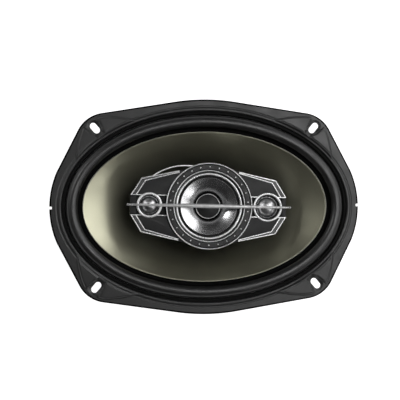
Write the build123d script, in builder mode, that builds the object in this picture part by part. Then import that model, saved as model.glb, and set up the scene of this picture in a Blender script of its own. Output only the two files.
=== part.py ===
from build123d import *

import os
from math import cos, radians, sin, sqrt

# A 6 x 9 inch, four-way coaxial car speaker, built as an assembly of separate pieces.
#
# The frame: the origin is the centre of the mounting plane (the back of the basket's flange),
# +Z points out of the front towards the listener, X runs along the long side of the oval and
# the terminals are on the -Y side. Everything is in millimetres.
#
# The woofer is built outwards from the oval edge of its cone, the motor hangs below the
# basket, and the pod that carries the midrange and the two tweeters stands on a post that
# rises through the middle of the motor.

os.makedirs("parts", exist_ok=True)

# ---------------------------------------------------------------- driving dimensions
# Basket flange: a six-by-nine oval with four clipped corners.
half_length, half_width = 118.5, 82.0
crown_x, crown_y = 25.0, 79.9          # where the bowed long side turns straight
corner_x, corner_y = 91.0, 69.6        # the clipped corner, before rounding
end_x, end_y = 113.0, 26.8             # where the bowed short side begins
corner_radius = 24.0
flange_thickness, flange_edge = 1.2, 0.72
slot_x, slot_y = 84.0, 60.0            # centres of the four mounting slots
slot_width, slot_length, slot_angle = 5.0, 9.0, 50.0
pad_margin, pad_depth = 2.2, 0.4       # shallow pressed pad round each slot
notch = 2.0                            # small locating notch in each end of the rim

# Basket bowl, as half-lengths and half-widths of its ovals, and as heights.
step_a, step_b, step_wall = 111.6, 75.6, 1.0
ledge_a, ledge_b = 103.0, 67.0
ledge_top, ledge_thickness = -2.0, 1.2
bowl_a, bowl_b, bowl_rim_z = 104.0, 68.0, -9.0
shoulder_radius, shoulder_z, shoulder_flat = 46.6, -38.0, 4.0
sheet = 1.0
cup_radius, cup_floor_z, cup_hole_radius = 39.8, -55.0, 17.6
window_count, window_half_angle, window_top_z = 8, 15.5, -6.7
window_outer_a, window_outer_b, window_inner_r, window_corner = 96.0, 60.5, 48.5, 3.0
vent_count, vent_width, vent_height, vent_corner = 6, 10.0, 6.0, 2.0
tab_width, tab_foot_width, tab_height = 18.0, 20.0, 12.0

# Woofer cone, its half-roll surround and its voice coil.
cone_a, cone_b, cone_rim_z = 94.2, 57.7, -1.4
cone_thickness, cone_rim_width, cone_flare = 0.8, 3.0, 0.15
neck_radius, neck_z = 16.1, -31.0
former_inner, former_outer, former_top, former_bottom = 14.9, 15.2, -30.5, -63.0
winding_outer, winding_height = 15.9, 10.0
roll_start, roll_end, roll_height, rubber = 2.6, 12.2, 4.8, 0.6
lip_end, glue = 15.6, 0.05
gasket_start, gasket_height, gasket_edge = 12.4, 2.0, 0.8
spider_gap, spider_flat, spider_thickness = 0.3, 2.0, 0.5
ripple_height, ripple_count = 0.8, 5
seal_clearance, seal_height, seal_lift = 1.0, 3.0, 2.5

# Motor.
plate_radius, plate_thickness = 43.0, 5.0
magnet_radius, magnet_bore, magnet_thickness = 45.0, 22.0, 16.0
gap_radius, pole_radius, pole_top = 16.6, 14.2, -53.0
post_radius, post_bore = 4.9, 2.5
bolt_head_radius, bolt_head_depth, bolt_sunk, bolt_length = 5.2, 3.2, 0.3, 18.0
cross_long, cross_wide, cross_depth = 5.0, 1.2, 1.6
rivet_count, rivet_circle, rivet_radius, rivet_head_height = 4, 30.0, 2.0, 1.4

# Pod: its outline, heights and how far it is turned on its post.
pod_clocking = -1.7
pod_radius, mid_opening = 32.0, 25.5
tip_x, tip_y = 58.4, 7.1
wing_x, wing_y = 50.3, 20.1
join_x, join_y = 18.6, 27.0
pod_wall = 1.6
pod_front, channel_floor, pod_split, pod_back = 18.0, 16.4, 8.0, 6.4
pod_cup_radius, pod_cup_floor = 25.0, -4.6
stalk_radius, stalk_bottom = 8.0, -20.0
pod_screw_x, pod_screw_y = 37.0, 17.5
bar_half_length, bar_bottom, bar_top = 61.0, 22.0, 24.2
bar_middle_width, bar_tip_width = 3.2, 1.8
bar_peg_x, bar_peg_radius = 56.8, 0.8
boss_radius, screw_radius, screw_head_height = 2.6, 1.2, 1.6
trim_width, trim_height, trim_insets, trim_start = 0.7, 0.5, (0.45, 3.4), 8.0
corner_shift, tip_shift = 0.75, 1.28   # how far an inset line's corners move along X
arch_width, arch_height = 0.9, 1.6

# Midrange and the round bezel in front of it.
bezel_outer, bezel_inner, bezel_lip, bezel_face = 31.2, 26.7, 0.8, 21.3
stud_count, stud_circle, stud_radius, stud_height = 26, 28.9, 0.8, 0.7
mid_lip_outer, mid_lip_inner, mid_lip_height = 24.7, 23.1, 2.8
mid_flange_z, mid_sheet, mid_paper = 17.4, 0.8, 0.5
mid_roll_start, mid_roll_end, mid_roll_foot, mid_roll_top = 0.5, 1.5, 0.7, 1.2
mid_yoke_outer, mid_yoke_inner, mid_yoke_top = 12.5, 9.9, 6.0
mid_cone_radius, mid_cone_z, mid_neck_z = 21.0, 18.6, 11.0
mid_coil_inner, mid_cap_radius, mid_cap_height, mid_cap_z = 8.5, 8.8, 2.8, 11.0
capacitor_radius, capacitor_length, capacitor_circle, capacitor_z = 3.4, 14.0, 18.6, -0.8
capacitor_count, capacitor_start_angle = 3, 150

# Tweeters: side of the pod, dome radius, ring inner and outer radius.
tweeter_distance, tweeter_yoke_top, ring_height = 44.2, 14.2, 2.6
dome_lift, dome_rise, dome_skin, tweeter_coil_height = 0.65, 0.62, 0.35, 2.3
tweeters = {
    "left": (-1, 5.2, 7.6, 9.5),
    "right": (1, 6.3, 9.3, 10.9),
}

# Terminals on the -Y side.
panel_y, panel_thickness = -48.8, 1.6
panel_width, panel_height, panel_corner = 21.0, 12.4, 1.5
lug_thickness, lug_least_width, lug_length, lug_rise = 0.8, 4.0, 14.6, 3.6
spade_length, spade_hole, tag_hole, tag_hole_rise = 9.2, 0.8, 0.7, 2.4
lug_rivet_drop, lug_rivet_radius, lug_rivet_head = 5.0, 1.2, 0.7
positive_x, positive_width = 6.8, 4.8
negative_x, negative_width = -6.8, 2.8
eyelet_x, eyelet_y, eyelet_z, eyelet_radius = 8.0, -30.0, -19.4, 1.1
eyelet_height, feed_hole_y, tinsel_diameter = 3.0, -14.0, 1.6

# ---------------------------------------------------------------- worked-out places
motor_top = cup_floor_z
magnet_top = motor_top - plate_thickness
back_plate_top = magnet_top - magnet_thickness
back_z = back_plate_top - plate_thickness
cup_inner = cup_radius - sheet
spider_outer = shoulder_radius - shoulder_flat
lug_rivet_z = shoulder_z - lug_rivet_drop
lug_bottom_z = shoulder_z + lug_rise - lug_length
lug_rivet_places = [(x, lug_rivet_z) for x in (positive_x, negative_x)]
panel_outer_y = panel_y - panel_thickness
lug_front_y = panel_outer_y - lug_thickness
pod_x_dir = (cos(radians(pod_clocking)), sin(radians(pod_clocking)), 0)
# Pod sketches are drawn on pod_plane, whose axes are turned a little on the post.
pod_plane = Plane(origin=(0, 0, 0), x_dir=pod_x_dir)


def save(piece, name):
    """Label a finished piece and write it as its own STEP file."""
    piece.part.label = name
    export_step(piece.part, f"parts/{name}.step")


def on_oval(a, b, degrees):
    """A point of the oval with half-length a and half-width b."""
    return a * cos(radians(degrees)), b * sin(radians(degrees))


# Cross-sections swept round the cone's oval edge are drawn on section_plane, where x is
# the distance outwards from that edge and y is the height.
cone_edge = Edge.make_ellipse(cone_a, cone_b)
section_plane = Plane(origin=(cone_a, 0, 0), x_dir=(1, 0, 0), z_dir=(0, -1, 0))


def cap_point(base_radius, height, share):
    """A point on a spherical cap, at a share of its base radius out from the axis."""
    sphere = (base_radius**2 + height**2) / (2 * height)
    out = base_radius * share
    return out, sqrt(sphere**2 - out**2) - (sphere - height)


def cap_arc(base_radius, height, base_z, outwards):
    """The half-section of a spherical cap, from its axis outwards or back to the axis."""
    shares = (0, 0.5, 1) if outwards else (1, 0.5, 0)
    points = [cap_point(base_radius, height, share) for share in shares]
    return [(x, base_z + z) for x, z in points]


def cone_height(fraction):
    """Height of the cone's front surface, from the neck (0) to the rim (1)."""
    return neck_z + (cone_rim_z - neck_z) * fraction * (1 + cone_flare * (1 - fraction))


# ---------------------------------------------------------------- basket
with BuildPart() as basket:
    # Flange with rounded corners.
    with BuildSketch() as flange_outline:
        with BuildLine():
            for side in (1, -1):
                ThreePointArc(
                    (-crown_x * side, crown_y * side),
                    (0, half_width * side),
                    (crown_x * side, crown_y * side),
                )
                Polyline(
                    (crown_x * side, crown_y * side),
                    (corner_x * side, corner_y * side),
                    (end_x * side, end_y * side),
                )
                ThreePointArc(
                    (end_x * side, end_y * side),
                    (half_length * side, 0),
                    (end_x * side, -end_y * side),
                )
                Polyline(
                    (end_x * side, -end_y * side),
                    (corner_x * side, -corner_y * side),
                    (crown_x * side, -crown_y * side),
                )
        make_face()
        corners = [v for v in flange_outline.vertices() if abs(abs(v.X) - corner_x) < 0.1]
        fillet(corners, corner_radius)
    extrude(amount=flange_thickness)
    fillet(basket.faces().sort_by(Axis.Z)[-1].edges(), flange_edge)

    # Step down to the ledge that carries the surround.
    with BuildSketch(Plane.XY.offset(ledge_top - ledge_thickness)):
        Ellipse(step_a, step_b)
    extrude(amount=flange_thickness - ledge_top + ledge_thickness)
    with BuildSketch(Plane.XY.offset(ledge_top)):
        Ellipse(step_a - step_wall, step_b - step_wall)
    extrude(amount=flange_thickness - ledge_top, mode=Mode.SUBTRACT)

    # Upright wall below the ledge, then the bowl down to the round shoulder.
    with BuildSketch(Plane.XY.offset(bowl_rim_z)):
        Ellipse(bowl_a, bowl_b)
    extrude(amount=ledge_top - bowl_rim_z)
    with BuildSketch(Plane.XY.offset(bowl_rim_z)):
        Ellipse(bowl_a, bowl_b)
    with BuildSketch(Plane.XY.offset(shoulder_z)):
        Circle(shoulder_radius)
    loft(ruled=True)
    with BuildSketch(Plane.XY.offset(bowl_rim_z + sheet)):
        Ellipse(ledge_a, ledge_b)
    extrude(amount=ledge_top - bowl_rim_z - sheet, mode=Mode.SUBTRACT)
    with BuildSketch(Plane.XY.offset(bowl_rim_z + sheet)):
        Ellipse(ledge_a, ledge_b)
    with BuildSketch(Plane.XY.offset(shoulder_z + sheet)):
        Circle(shoulder_radius - sheet * 0.6)
    loft(ruled=True, mode=Mode.SUBTRACT)

    # Cup under the spider, with its floor on top of the motor.
    with BuildSketch(Plane.XY.offset(cup_floor_z)):
        Circle(cup_radius)
    extrude(amount=shoulder_z - cup_floor_z)
    with BuildSketch(Plane.XY.offset(cup_floor_z + sheet)):
        Circle(cup_inner)
    extrude(amount=shoulder_z - cup_floor_z, mode=Mode.SUBTRACT)
    with BuildSketch(Plane.XY.offset(cup_floor_z)):
        Circle(cup_hole_radius)
    extrude(amount=sheet, mode=Mode.SUBTRACT)

    # Windows between the legs of the bowl.
    for index in range(window_count):
        middle = 360 / window_count * index
        turns = (middle - window_half_angle, middle, middle + window_half_angle)
        outer_points = [on_oval(window_outer_a, window_outer_b, turn) for turn in turns]
        inner_points = [on_oval(window_inner_r, window_inner_r, turn) for turn in turns]
        with BuildSketch(Plane.XY.offset(shoulder_z - sheet)) as window:
            with BuildLine():
                ThreePointArc(*outer_points)
                Line(outer_points[-1], inner_points[-1])
                ThreePointArc(*reversed(inner_points))
                Line(inner_points[0], outer_points[0])
            make_face()
            fillet(window.vertices(), window_corner)
        extrude(amount=window_top_z - shoulder_z + sheet, mode=Mode.SUBTRACT)

    # Vents in the cup, under the spider.
    vent_z = (cup_floor_z + shoulder_z) / 2
    for index in range(vent_count):
        turn = radians(360 / vent_count * index)
        outward = Plane(
            origin=(0, 0, vent_z), x_dir=(-sin(turn), cos(turn), 0), z_dir=(cos(turn), sin(turn), 0)
        )
        with BuildSketch(outward.offset(cup_inner - 3)):
            RectangleRounded(vent_width, vent_height, vent_corner)
        extrude(amount=6, mode=Mode.SUBTRACT)

    # Tab that carries the terminal panel, hung from the shoulder.
    with BuildSketch(Plane.XY.offset(shoulder_z)):
        with Locations((0, (panel_y - spider_outer) / 2)):
            Rectangle(tab_width, -panel_y - spider_outer)
    extrude(amount=sheet)
    with BuildSketch(Plane.XY.offset(shoulder_z - tab_height)):
        with Locations((0, panel_y + sheet / 2)):
            Rectangle(tab_foot_width, sheet)
    extrude(amount=tab_height + sheet)

    # Mounting slots with their pressed pads, and the notches in the rim.
    slot_places = [(x, y) for x in (slot_x, -slot_x) for y in (slot_y, -slot_y)]
    for x, y in slot_places:
        turn = slot_angle if x * y > 0 else -slot_angle
        with BuildSketch(Plane.XY.offset(flange_thickness - pad_depth)):
            with Locations((x, y)):
                SlotOverall(slot_length + 2 * pad_margin, slot_width + 2 * pad_margin, rotation=turn)
        extrude(amount=pad_depth, mode=Mode.SUBTRACT)
        with BuildSketch():
            with Locations((x, y)):
                SlotOverall(slot_length, slot_width, rotation=turn)
        extrude(amount=flange_thickness, mode=Mode.SUBTRACT)
    with BuildSketch():
        with Locations((half_length, 0), (-half_length, 0)):
            Rectangle(2 * notch, notch)
    extrude(amount=flange_thickness, mode=Mode.SUBTRACT)

    # Holes for the four rivets that hold the motor.
    with BuildSketch(Plane.XY.offset(cup_floor_z)):
        with PolarLocations(rivet_circle, rivet_count, start_angle=45):
            Circle(rivet_radius)
    extrude(amount=sheet, mode=Mode.SUBTRACT)

    # Rivet holes in the terminal tab.
    with BuildSketch(Plane.XZ.offset(-panel_y - 2 * sheet)):
        with Locations(*lug_rivet_places):
            Circle(lug_rivet_radius)
    extrude(amount=2 * sheet, mode=Mode.SUBTRACT)
save(basket, "basket")

# ---------------------------------------------------------------- woofer
lip_top = ledge_top + rubber
roll_middle = (roll_start + roll_end) / 2
cone_back_z = cone_rim_z - cone_thickness
with BuildPart() as surround:
    with BuildSketch(section_plane):
        with BuildLine():
            Polyline(
                (-cone_rim_width, cone_back_z - glue - rubber),
                (-cone_rim_width, cone_back_z - glue),
                (roll_start - 1, cone_back_z - glue),
                (roll_start, lip_top),
            )
            ThreePointArc((roll_start, lip_top), (roll_middle, lip_top + roll_height), (roll_end, lip_top))
            Polyline(
                (roll_end, lip_top),
                (lip_end, lip_top),
                (lip_end, ledge_top),
                (roll_end - rubber, ledge_top),
            )
            ThreePointArc(
                (roll_end - rubber, ledge_top),
                (roll_middle, lip_top + roll_height - rubber),
                (roll_start + rubber, ledge_top),
            )
            Polyline(
                (roll_start + rubber, ledge_top),
                (roll_start + rubber - 1, cone_back_z - glue - rubber),
                (-cone_rim_width, cone_back_z - glue - rubber),
            )
        make_face()
    sweep(path=cone_edge)
save(surround, "surround")

with BuildPart() as gasket_ring:
    with BuildSketch(section_plane):
        with BuildLine():
            Polyline(
                (gasket_start, lip_top),
                (lip_end, lip_top),
                (lip_end, lip_top + gasket_height),
                (gasket_start + gasket_edge, lip_top + gasket_height),
                (gasket_start, lip_top + gasket_height - gasket_edge),
                close=True,
            )
        make_face()
    sweep(path=cone_edge)
save(gasket_ring, "gasket_ring")

with BuildPart() as woofer_cone:
    # The outside and then the inside of the flared shell, through the same ovals.
    for drop, mode in ((cone_thickness, Mode.ADD), (0, Mode.SUBTRACT)):
        for fraction in (0, 0.3, 0.65, 1):
            with BuildSketch(Plane.XY.offset(cone_height(fraction) - drop)):
                Ellipse(
                    neck_radius + (cone_a - cone_rim_width - neck_radius) * fraction,
                    neck_radius + (cone_b - cone_rim_width - neck_radius) * fraction,
                )
        loft(mode=mode)
        if mode == Mode.ADD:
            with BuildSketch(Plane.XY.offset(cone_back_z)):
                Ellipse(cone_a, cone_b)
            extrude(amount=cone_thickness)
    # Hole in the neck for the former, and two small holes for the lead eyelets.
    with BuildSketch(Plane.XY.offset(neck_z - cone_thickness)):
        Circle(former_outer)
        with Locations((eyelet_x, eyelet_y), (-eyelet_x, eyelet_y)):
            Circle(eyelet_radius)
    extrude(amount=cone_rim_z - neck_z, mode=Mode.SUBTRACT)
save(woofer_cone, "woofer_cone")

with BuildPart() as voice_coil_former:
    with BuildSketch(Plane.XY.offset(former_bottom)):
        Circle(former_outer)
        Circle(former_inner, mode=Mode.SUBTRACT)
    extrude(amount=former_top - former_bottom)
save(voice_coil_former, "voice_coil_former")

with BuildPart() as voice_coil_winding:
    with BuildSketch(Plane.XY.offset(motor_top - plate_thickness / 2 - winding_height / 2)):
        Circle(winding_outer)
        Circle(former_outer, mode=Mode.SUBTRACT)
    extrude(amount=winding_height)
save(voice_coil_winding, "voice_coil_winding")

with BuildPart() as lead_eyelets:
    for x in (eyelet_x, -eyelet_x):
        with BuildSketch(Plane.XY.offset(eyelet_z - eyelet_height / 2)):
            with Locations((x, eyelet_y)):
                Circle(eyelet_radius)
        extrude(amount=eyelet_height)
save(lead_eyelets, "lead_eyelets")

with BuildPart() as spider:
    # A thin corrugated disc from the former out to the basket's shoulder.
    spider_inner = former_outer + spider_gap
    ripple_start, ripple_end = spider_inner + spider_flat, cup_inner - spider_thickness
    step = (ripple_end - ripple_start) / (2 * ripple_count)
    base = shoulder_z + sheet
    with BuildSketch(Plane.XZ):
        with BuildLine():
            for height in (base + spider_thickness, base):
                Line((spider_inner, height), (ripple_start, height))
                for n in range(2 * ripple_count):
                    left = ripple_start + n * step
                    crest = ripple_height if n % 2 == 0 else -ripple_height
                    ThreePointArc(
                        (left, height), (left + step / 2, height + crest), (left + step, height)
                    )
                Line((ripple_end, height), (spider_outer, height))
            Line((spider_inner, base), (spider_inner, base + spider_thickness))
            Line((spider_outer, base), (spider_outer, base + spider_thickness))
        make_face()
    revolve(axis=Axis.Z)
save(spider, "spider")

with BuildPart() as dust_seal:
    with BuildSketch(Plane.XY.offset(former_top + seal_lift)):
        Circle(former_inner - seal_clearance)
        Circle(post_radius, mode=Mode.SUBTRACT)
    extrude(amount=seal_height)
save(dust_seal, "dust_seal")

# ---------------------------------------------------------------- motor
with BuildPart() as top_plate:
    with BuildSketch(Plane.XY.offset(magnet_top)):
        Circle(plate_radius)
        Circle(gap_radius, mode=Mode.SUBTRACT)
        with PolarLocations(rivet_circle, rivet_count, start_angle=45):
            Circle(rivet_radius, mode=Mode.SUBTRACT)
    extrude(amount=plate_thickness)
    chamfer(top_plate.edges().filter_by(GeomType.CIRCLE).sort_by(SortBy.RADIUS)[-2:], 0.6)
save(top_plate, "top_plate")

with BuildPart() as magnet:
    with BuildSketch(Plane.XY.offset(back_plate_top)):
        Circle(magnet_radius)
        Circle(magnet_bore, mode=Mode.SUBTRACT)
    extrude(amount=magnet_thickness)
    chamfer(magnet.edges().filter_by(GeomType.CIRCLE).sort_by(SortBy.RADIUS)[-2:], 1)
save(magnet, "magnet")

with BuildPart() as back_plate:
    # The plate and the pole piece are one turning, bored for the post and its bolt.
    with BuildSketch(Plane.XZ):
        with BuildLine():
            Polyline(
                (post_radius, back_z + bolt_head_depth + 1),
                (post_radius, pole_top),
                (pole_radius - 1, pole_top),
                (pole_radius, pole_top - 1),
                (pole_radius, back_plate_top),
                (plate_radius - 0.8, back_plate_top),
                (plate_radius, back_plate_top - 0.8),
                (plate_radius, back_z + 0.8),
                (plate_radius - 0.8, back_z),
                (bolt_head_radius + 0.4, back_z),
                (bolt_head_radius + 0.4, back_z + bolt_head_depth),
                (post_bore + 0.1, back_z + bolt_head_depth),
                (post_bore + 0.1, back_z + bolt_head_depth + 1),
                close=True,
            )
        make_face()
    revolve(axis=Axis.Z)
save(back_plate, "back_plate")

with BuildPart() as basket_rivets:
    with BuildSketch(Plane.XY.offset(magnet_top + 1)):
        with PolarLocations(rivet_circle, rivet_count, start_angle=45):
            Circle(rivet_radius)
    extrude(amount=plate_thickness - 1 + sheet)
    with BuildSketch(Plane.XY.offset(cup_floor_z + sheet)):
        with PolarLocations(rivet_circle, rivet_count, start_angle=45):
            Circle(rivet_radius * 1.7)
    extrude(amount=rivet_head_height)
    fillet(basket_rivets.edges().group_by(Axis.Z)[-1], 0.9)
save(basket_rivets, "basket_rivets")

with BuildPart() as pod_post:
    with BuildSketch(Plane.XY.offset(back_z + bolt_head_depth + 1)):
        Circle(post_radius)
        Circle(post_bore, mode=Mode.SUBTRACT)
    extrude(amount=pod_cup_floor - 0.6 - (back_z + bolt_head_depth + 1))
save(pod_post, "pod_post")

with BuildPart() as pod_bolt:
    # Cross-recessed bolt, sunk into the back plate and screwed up into the post.
    with BuildSketch(Plane.XY.offset(back_z + bolt_sunk)):
        Circle(bolt_head_radius)
    extrude(amount=bolt_head_depth - bolt_sunk)
    fillet(pod_bolt.edges().group_by(Axis.Z)[0], 1.2)
    with BuildSketch(Plane.XY.offset(back_z + bolt_head_depth)):
        Circle(post_bore)
    extrude(amount=bolt_length)
    with BuildSketch(Plane.XY.offset(back_z + bolt_sunk)):
        Rectangle(cross_long, cross_wide)
        Rectangle(cross_wide, cross_long)
    extrude(amount=cross_depth, mode=Mode.SUBTRACT)
save(pod_bolt, "pod_bolt")

# ---------------------------------------------------------------- terminals
with BuildPart() as terminal_panel:
    with BuildSketch(Plane.XZ.offset(-panel_y)):
        with Locations((0, shoulder_z - tab_height / 2)):
            RectangleRounded(panel_width, panel_height, panel_corner)
        with Locations(*lug_rivet_places):
            Circle(lug_rivet_radius, mode=Mode.SUBTRACT)
    extrude(amount=panel_thickness)
save(terminal_panel, "terminal_panel")

for name, x, width in (
    ("terminal_positive", positive_x, positive_width),
    ("terminal_negative", negative_x, negative_width),
):
    # A brass lug on the panel: solder tag at the top, spade bent out at the bottom.
    lug_width = max(width, lug_least_width)
    with BuildPart() as lug:
        with BuildSketch(Plane.XZ.offset(-panel_outer_y)):
            with Locations((x, lug_bottom_z + lug_length / 2)):
                Rectangle(lug_width, lug_length)
            with Locations((x, shoulder_z + tag_hole_rise)):
                Circle(tag_hole, mode=Mode.SUBTRACT)
            with Locations((x, lug_rivet_z)):
                Circle(lug_rivet_radius, mode=Mode.SUBTRACT)
        extrude(amount=lug_thickness)
        with BuildSketch(Plane.XY.offset(lug_bottom_z)):
            with Locations((x, lug_front_y - spade_length / 2)):
                Rectangle(width, spade_length)
            with Locations((x, panel_outer_y - lug_thickness / 2)):
                Rectangle(width, lug_thickness)
            with Locations((x, lug_front_y - spade_length * 0.73)):
                Circle(spade_hole, mode=Mode.SUBTRACT)
        extrude(amount=lug_thickness)
        tip = lug.faces().sort_by(Axis.Y)[0]
        chamfer(tip.edges().filter_by(Axis.Z), width * 0.18)
    save(lug, name)

with BuildPart() as terminal_rivets:
    lug_front = -lug_front_y
    for x in (positive_x, negative_x):
        with BuildSketch(Plane.XZ.offset(-panel_y - sheet)):
            with Locations((x, lug_rivet_z)):
                Circle(lug_rivet_radius)
        extrude(amount=lug_front + panel_y + sheet)
        for head in (lug_front, -panel_y - sheet - lug_rivet_head):
            with BuildSketch(Plane.XZ.offset(head)):
                with Locations((x, lug_rivet_z)):
                    Circle(lug_rivet_radius * 1.5)
            extrude(amount=lug_rivet_head)
save(terminal_rivets, "terminal_rivets")


def lead(points, radii, diameter):
    """A flexible lead of round section along straight runs joined by arcs."""
    with BuildPart() as wire:
        with BuildLine():
            route = FilletPolyline(*points, radius=radii)
        start = Plane(origin=route @ 0, z_dir=route % 0)
        with BuildSketch(start):
            Circle(diameter / 2)
        sweep(path=route)
    return wire.part


with BuildPart() as tinsel_leads:
    for side, x in ((1, positive_x), (-1, negative_x)):
        add(
            lead(
                [
                    (x, lug_front_y - tinsel_diameter / 2, shoulder_z + 0.6),
                    (x, lug_front_y - tinsel_diameter / 2, shoulder_z + 7),
                    (side * 7.5, lug_front_y + 9, shoulder_z + 9),
                    (side * eyelet_x, eyelet_y, eyelet_z - 5.5),
                    (side * eyelet_x, eyelet_y, eyelet_z - eyelet_height / 2),
                ],
                [2.5, 5, 2],
                tinsel_diameter,
            )
        )
save(tinsel_leads, "tinsel_leads")

with BuildPart() as pod_feed_leads:
    for side in (1, -1):
        add(
            lead(
                [
                    (side * eyelet_x, eyelet_y, eyelet_z + eyelet_height / 2),
                    (side * eyelet_x, eyelet_y, eyelet_z + 5),
                    (side * eyelet_x, feed_hole_y, eyelet_z + 8),
                    (side * eyelet_x, feed_hole_y, pod_cup_floor - pod_wall),
                ],
                [2.5, 2.5],
                tinsel_diameter,
            )
        )
save(pod_feed_leads, "pod_feed_leads")


# ---------------------------------------------------------------- pod
def wing_outline(side, inset=0.0):
    """Outline of one wing, from the pod's axis out to its tip."""
    with BuildSketch(mode=Mode.PRIVATE) as wing:
        with BuildLine():
            Polyline(
                (0, tip_y),
                (0, join_y),
                (side * join_x, join_y),
                (side * wing_x, wing_y),
                (side * tip_x, tip_y),
                (side * tip_x, -tip_y),
                (side * wing_x, -wing_y),
                (side * join_x, -join_y),
                (0, -join_y),
                close=True,
            )
        make_face()
        if inset:
            offset(amount=-inset, kind=Kind.INTERSECTION)
    return wing.sketch


screw_places = [(x, y) for x in (pod_screw_x, -pod_screw_x) for y in (pod_screw_y, -pod_screw_y)]
rim_radius = pod_radius - pod_wall

with BuildPart() as pod_housing:
    # Round body and two wings, hollow and open at the back.
    with BuildSketch(pod_plane.offset(pod_split)):
        Circle(pod_radius)
        for side in (1, -1):
            add(wing_outline(side))
    extrude(amount=pod_front - pod_split)
    fillet(pod_housing.faces().sort_by(Axis.Z)[-1].edges(), 0.5)
    with BuildSketch(pod_plane.offset(pod_split)):
        for side in (1, -1):
            add(wing_outline(side, inset=pod_wall))
    extrude(amount=channel_floor - pod_wall - pod_split, mode=Mode.SUBTRACT)
    with BuildSketch(pod_plane.offset(pod_split)):
        Circle(rim_radius)
    extrude(amount=pod_front - pod_wall - pod_split, mode=Mode.SUBTRACT)
    with BuildSketch(pod_plane.offset(pod_split)):
        Circle(mid_opening)
    extrude(amount=pod_front - pod_split, mode=Mode.SUBTRACT)
    for side, dome, ring_inner, ring_outer in tweeters.values():
        # The channel along each wing, and the seat and hole for its tweeter.
        with BuildSketch(pod_plane.offset(channel_floor)):
            with Locations((side * (pod_radius + tip_x) / 2, 0)):
                Rectangle(tip_x - pod_radius, 2 * tip_y)
            with Locations((side * tweeter_distance, 0)):
                Circle(ring_outer + 0.05)
        extrude(amount=pod_front - channel_floor, mode=Mode.SUBTRACT)
        with BuildSketch(pod_plane.offset(pod_split)):
            with Locations((side * tweeter_distance, 0)):
                Circle(ring_inner + 0.6)
        extrude(amount=pod_front - pod_split, mode=Mode.SUBTRACT)
    # Screw bosses.
    with BuildSketch(pod_plane.offset(pod_split)):
        with Locations(*screw_places):
            Circle(boss_radius)
            Circle(screw_radius, mode=Mode.SUBTRACT)
    extrude(amount=channel_floor - pod_wall - pod_split)
save(pod_housing, "pod_housing")

with BuildPart() as pod_back_cover:
    # Wing covers, the cup behind the midrange, and the collar that fits the post.
    with BuildSketch(pod_plane.offset(pod_back)):
        Circle(pod_radius)
        for side in (1, -1):
            add(wing_outline(side))
    extrude(amount=pod_split - pod_back)
    fillet(pod_back_cover.faces().sort_by(Axis.Z)[0].edges(), 0.8)
    with BuildSketch(Plane.XZ):
        with BuildLine():
            Polyline(
                (0, pod_cup_floor - pod_wall),
                (pod_cup_radius - 2, pod_cup_floor - pod_wall),
                (pod_cup_radius, pod_cup_floor + 0.4),
                (pod_radius - 0.4, pod_back + 0.2),
                (pod_radius - 0.4, pod_split),
                (0, pod_split),
                close=True,
            )
        make_face()
    revolve(axis=Axis.Z)
    with BuildSketch(Plane.XY.offset(stalk_bottom)):
        Circle(stalk_radius)
    extrude(amount=pod_cup_floor - stalk_bottom)
    fillet(pod_back_cover.edges().group_by(Axis.Z)[0], 1)
    with BuildSketch(Plane.XZ):
        with BuildLine():
            Polyline(
                (0, pod_cup_floor),
                (pod_cup_radius - 1.6, pod_cup_floor),
                (rim_radius - 0.2, pod_back),
                (rim_radius - 0.2, pod_split),
                (0, pod_split),
                close=True,
            )
        make_face()
    revolve(axis=Axis.Z, mode=Mode.SUBTRACT)
    with BuildSketch(Plane.XY.offset(stalk_bottom)):
        Circle(post_radius)
    extrude(amount=pod_cup_floor - 0.6 - stalk_bottom, mode=Mode.SUBTRACT)
    with BuildSketch(pod_plane.offset(pod_back)):
        with Locations(*screw_places):
            Circle(screw_radius + 0.2)
    extrude(amount=pod_split - pod_back, mode=Mode.SUBTRACT)
    with BuildSketch(Plane.XY.offset(pod_cup_floor - pod_wall)):
        with Locations((eyelet_x, feed_hole_y), (-eyelet_x, feed_hole_y)):
            Circle(tinsel_diameter / 2)
    extrude(amount=pod_wall, mode=Mode.SUBTRACT)
save(pod_back_cover, "pod_back_cover")

with BuildPart() as pod_screws:
    for place in screw_places:
        with BuildSketch(pod_plane.offset(pod_back - screw_head_height)):
            with Locations(place):
                Circle(screw_radius * 2)
        extrude(amount=screw_head_height)
        with BuildSketch(pod_plane.offset(pod_back)):
            with Locations(place):
                Circle(screw_radius)
        extrude(amount=channel_floor - pod_wall - pod_back)
    fillet(pod_screws.edges().group_by(Axis.Z)[0], 0.5)
save(pod_screws, "pod_screws")

with BuildPart() as cross_bar:
    # A slim bar, widest in the middle, on the bezel and on a peg in each channel.
    with BuildSketch(pod_plane.offset(bar_bottom)):
        with BuildLine():
            Polyline(
                (-bar_half_length, bar_tip_width / 2),
                (0, bar_middle_width / 2),
                (bar_half_length, bar_tip_width / 2),
                (bar_half_length, -bar_tip_width / 2),
                (0, -bar_middle_width / 2),
                (-bar_half_length, -bar_tip_width / 2),
                close=True,
            )
        make_face()
    extrude(amount=bar_top - bar_bottom)
    fillet(cross_bar.edges().filter_by(Axis.Z), 0.7)
    fillet(cross_bar.faces().sort_by(Axis.Z)[-1].edges(), 0.6)
    with BuildSketch(pod_plane.offset(channel_floor)):
        with Locations((bar_peg_x, 0), (-bar_peg_x, 0)):
            Circle(bar_peg_radius)
    extrude(amount=(bar_bottom + bar_top) / 2 - channel_floor)
save(cross_bar, "cross_bar")


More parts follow.
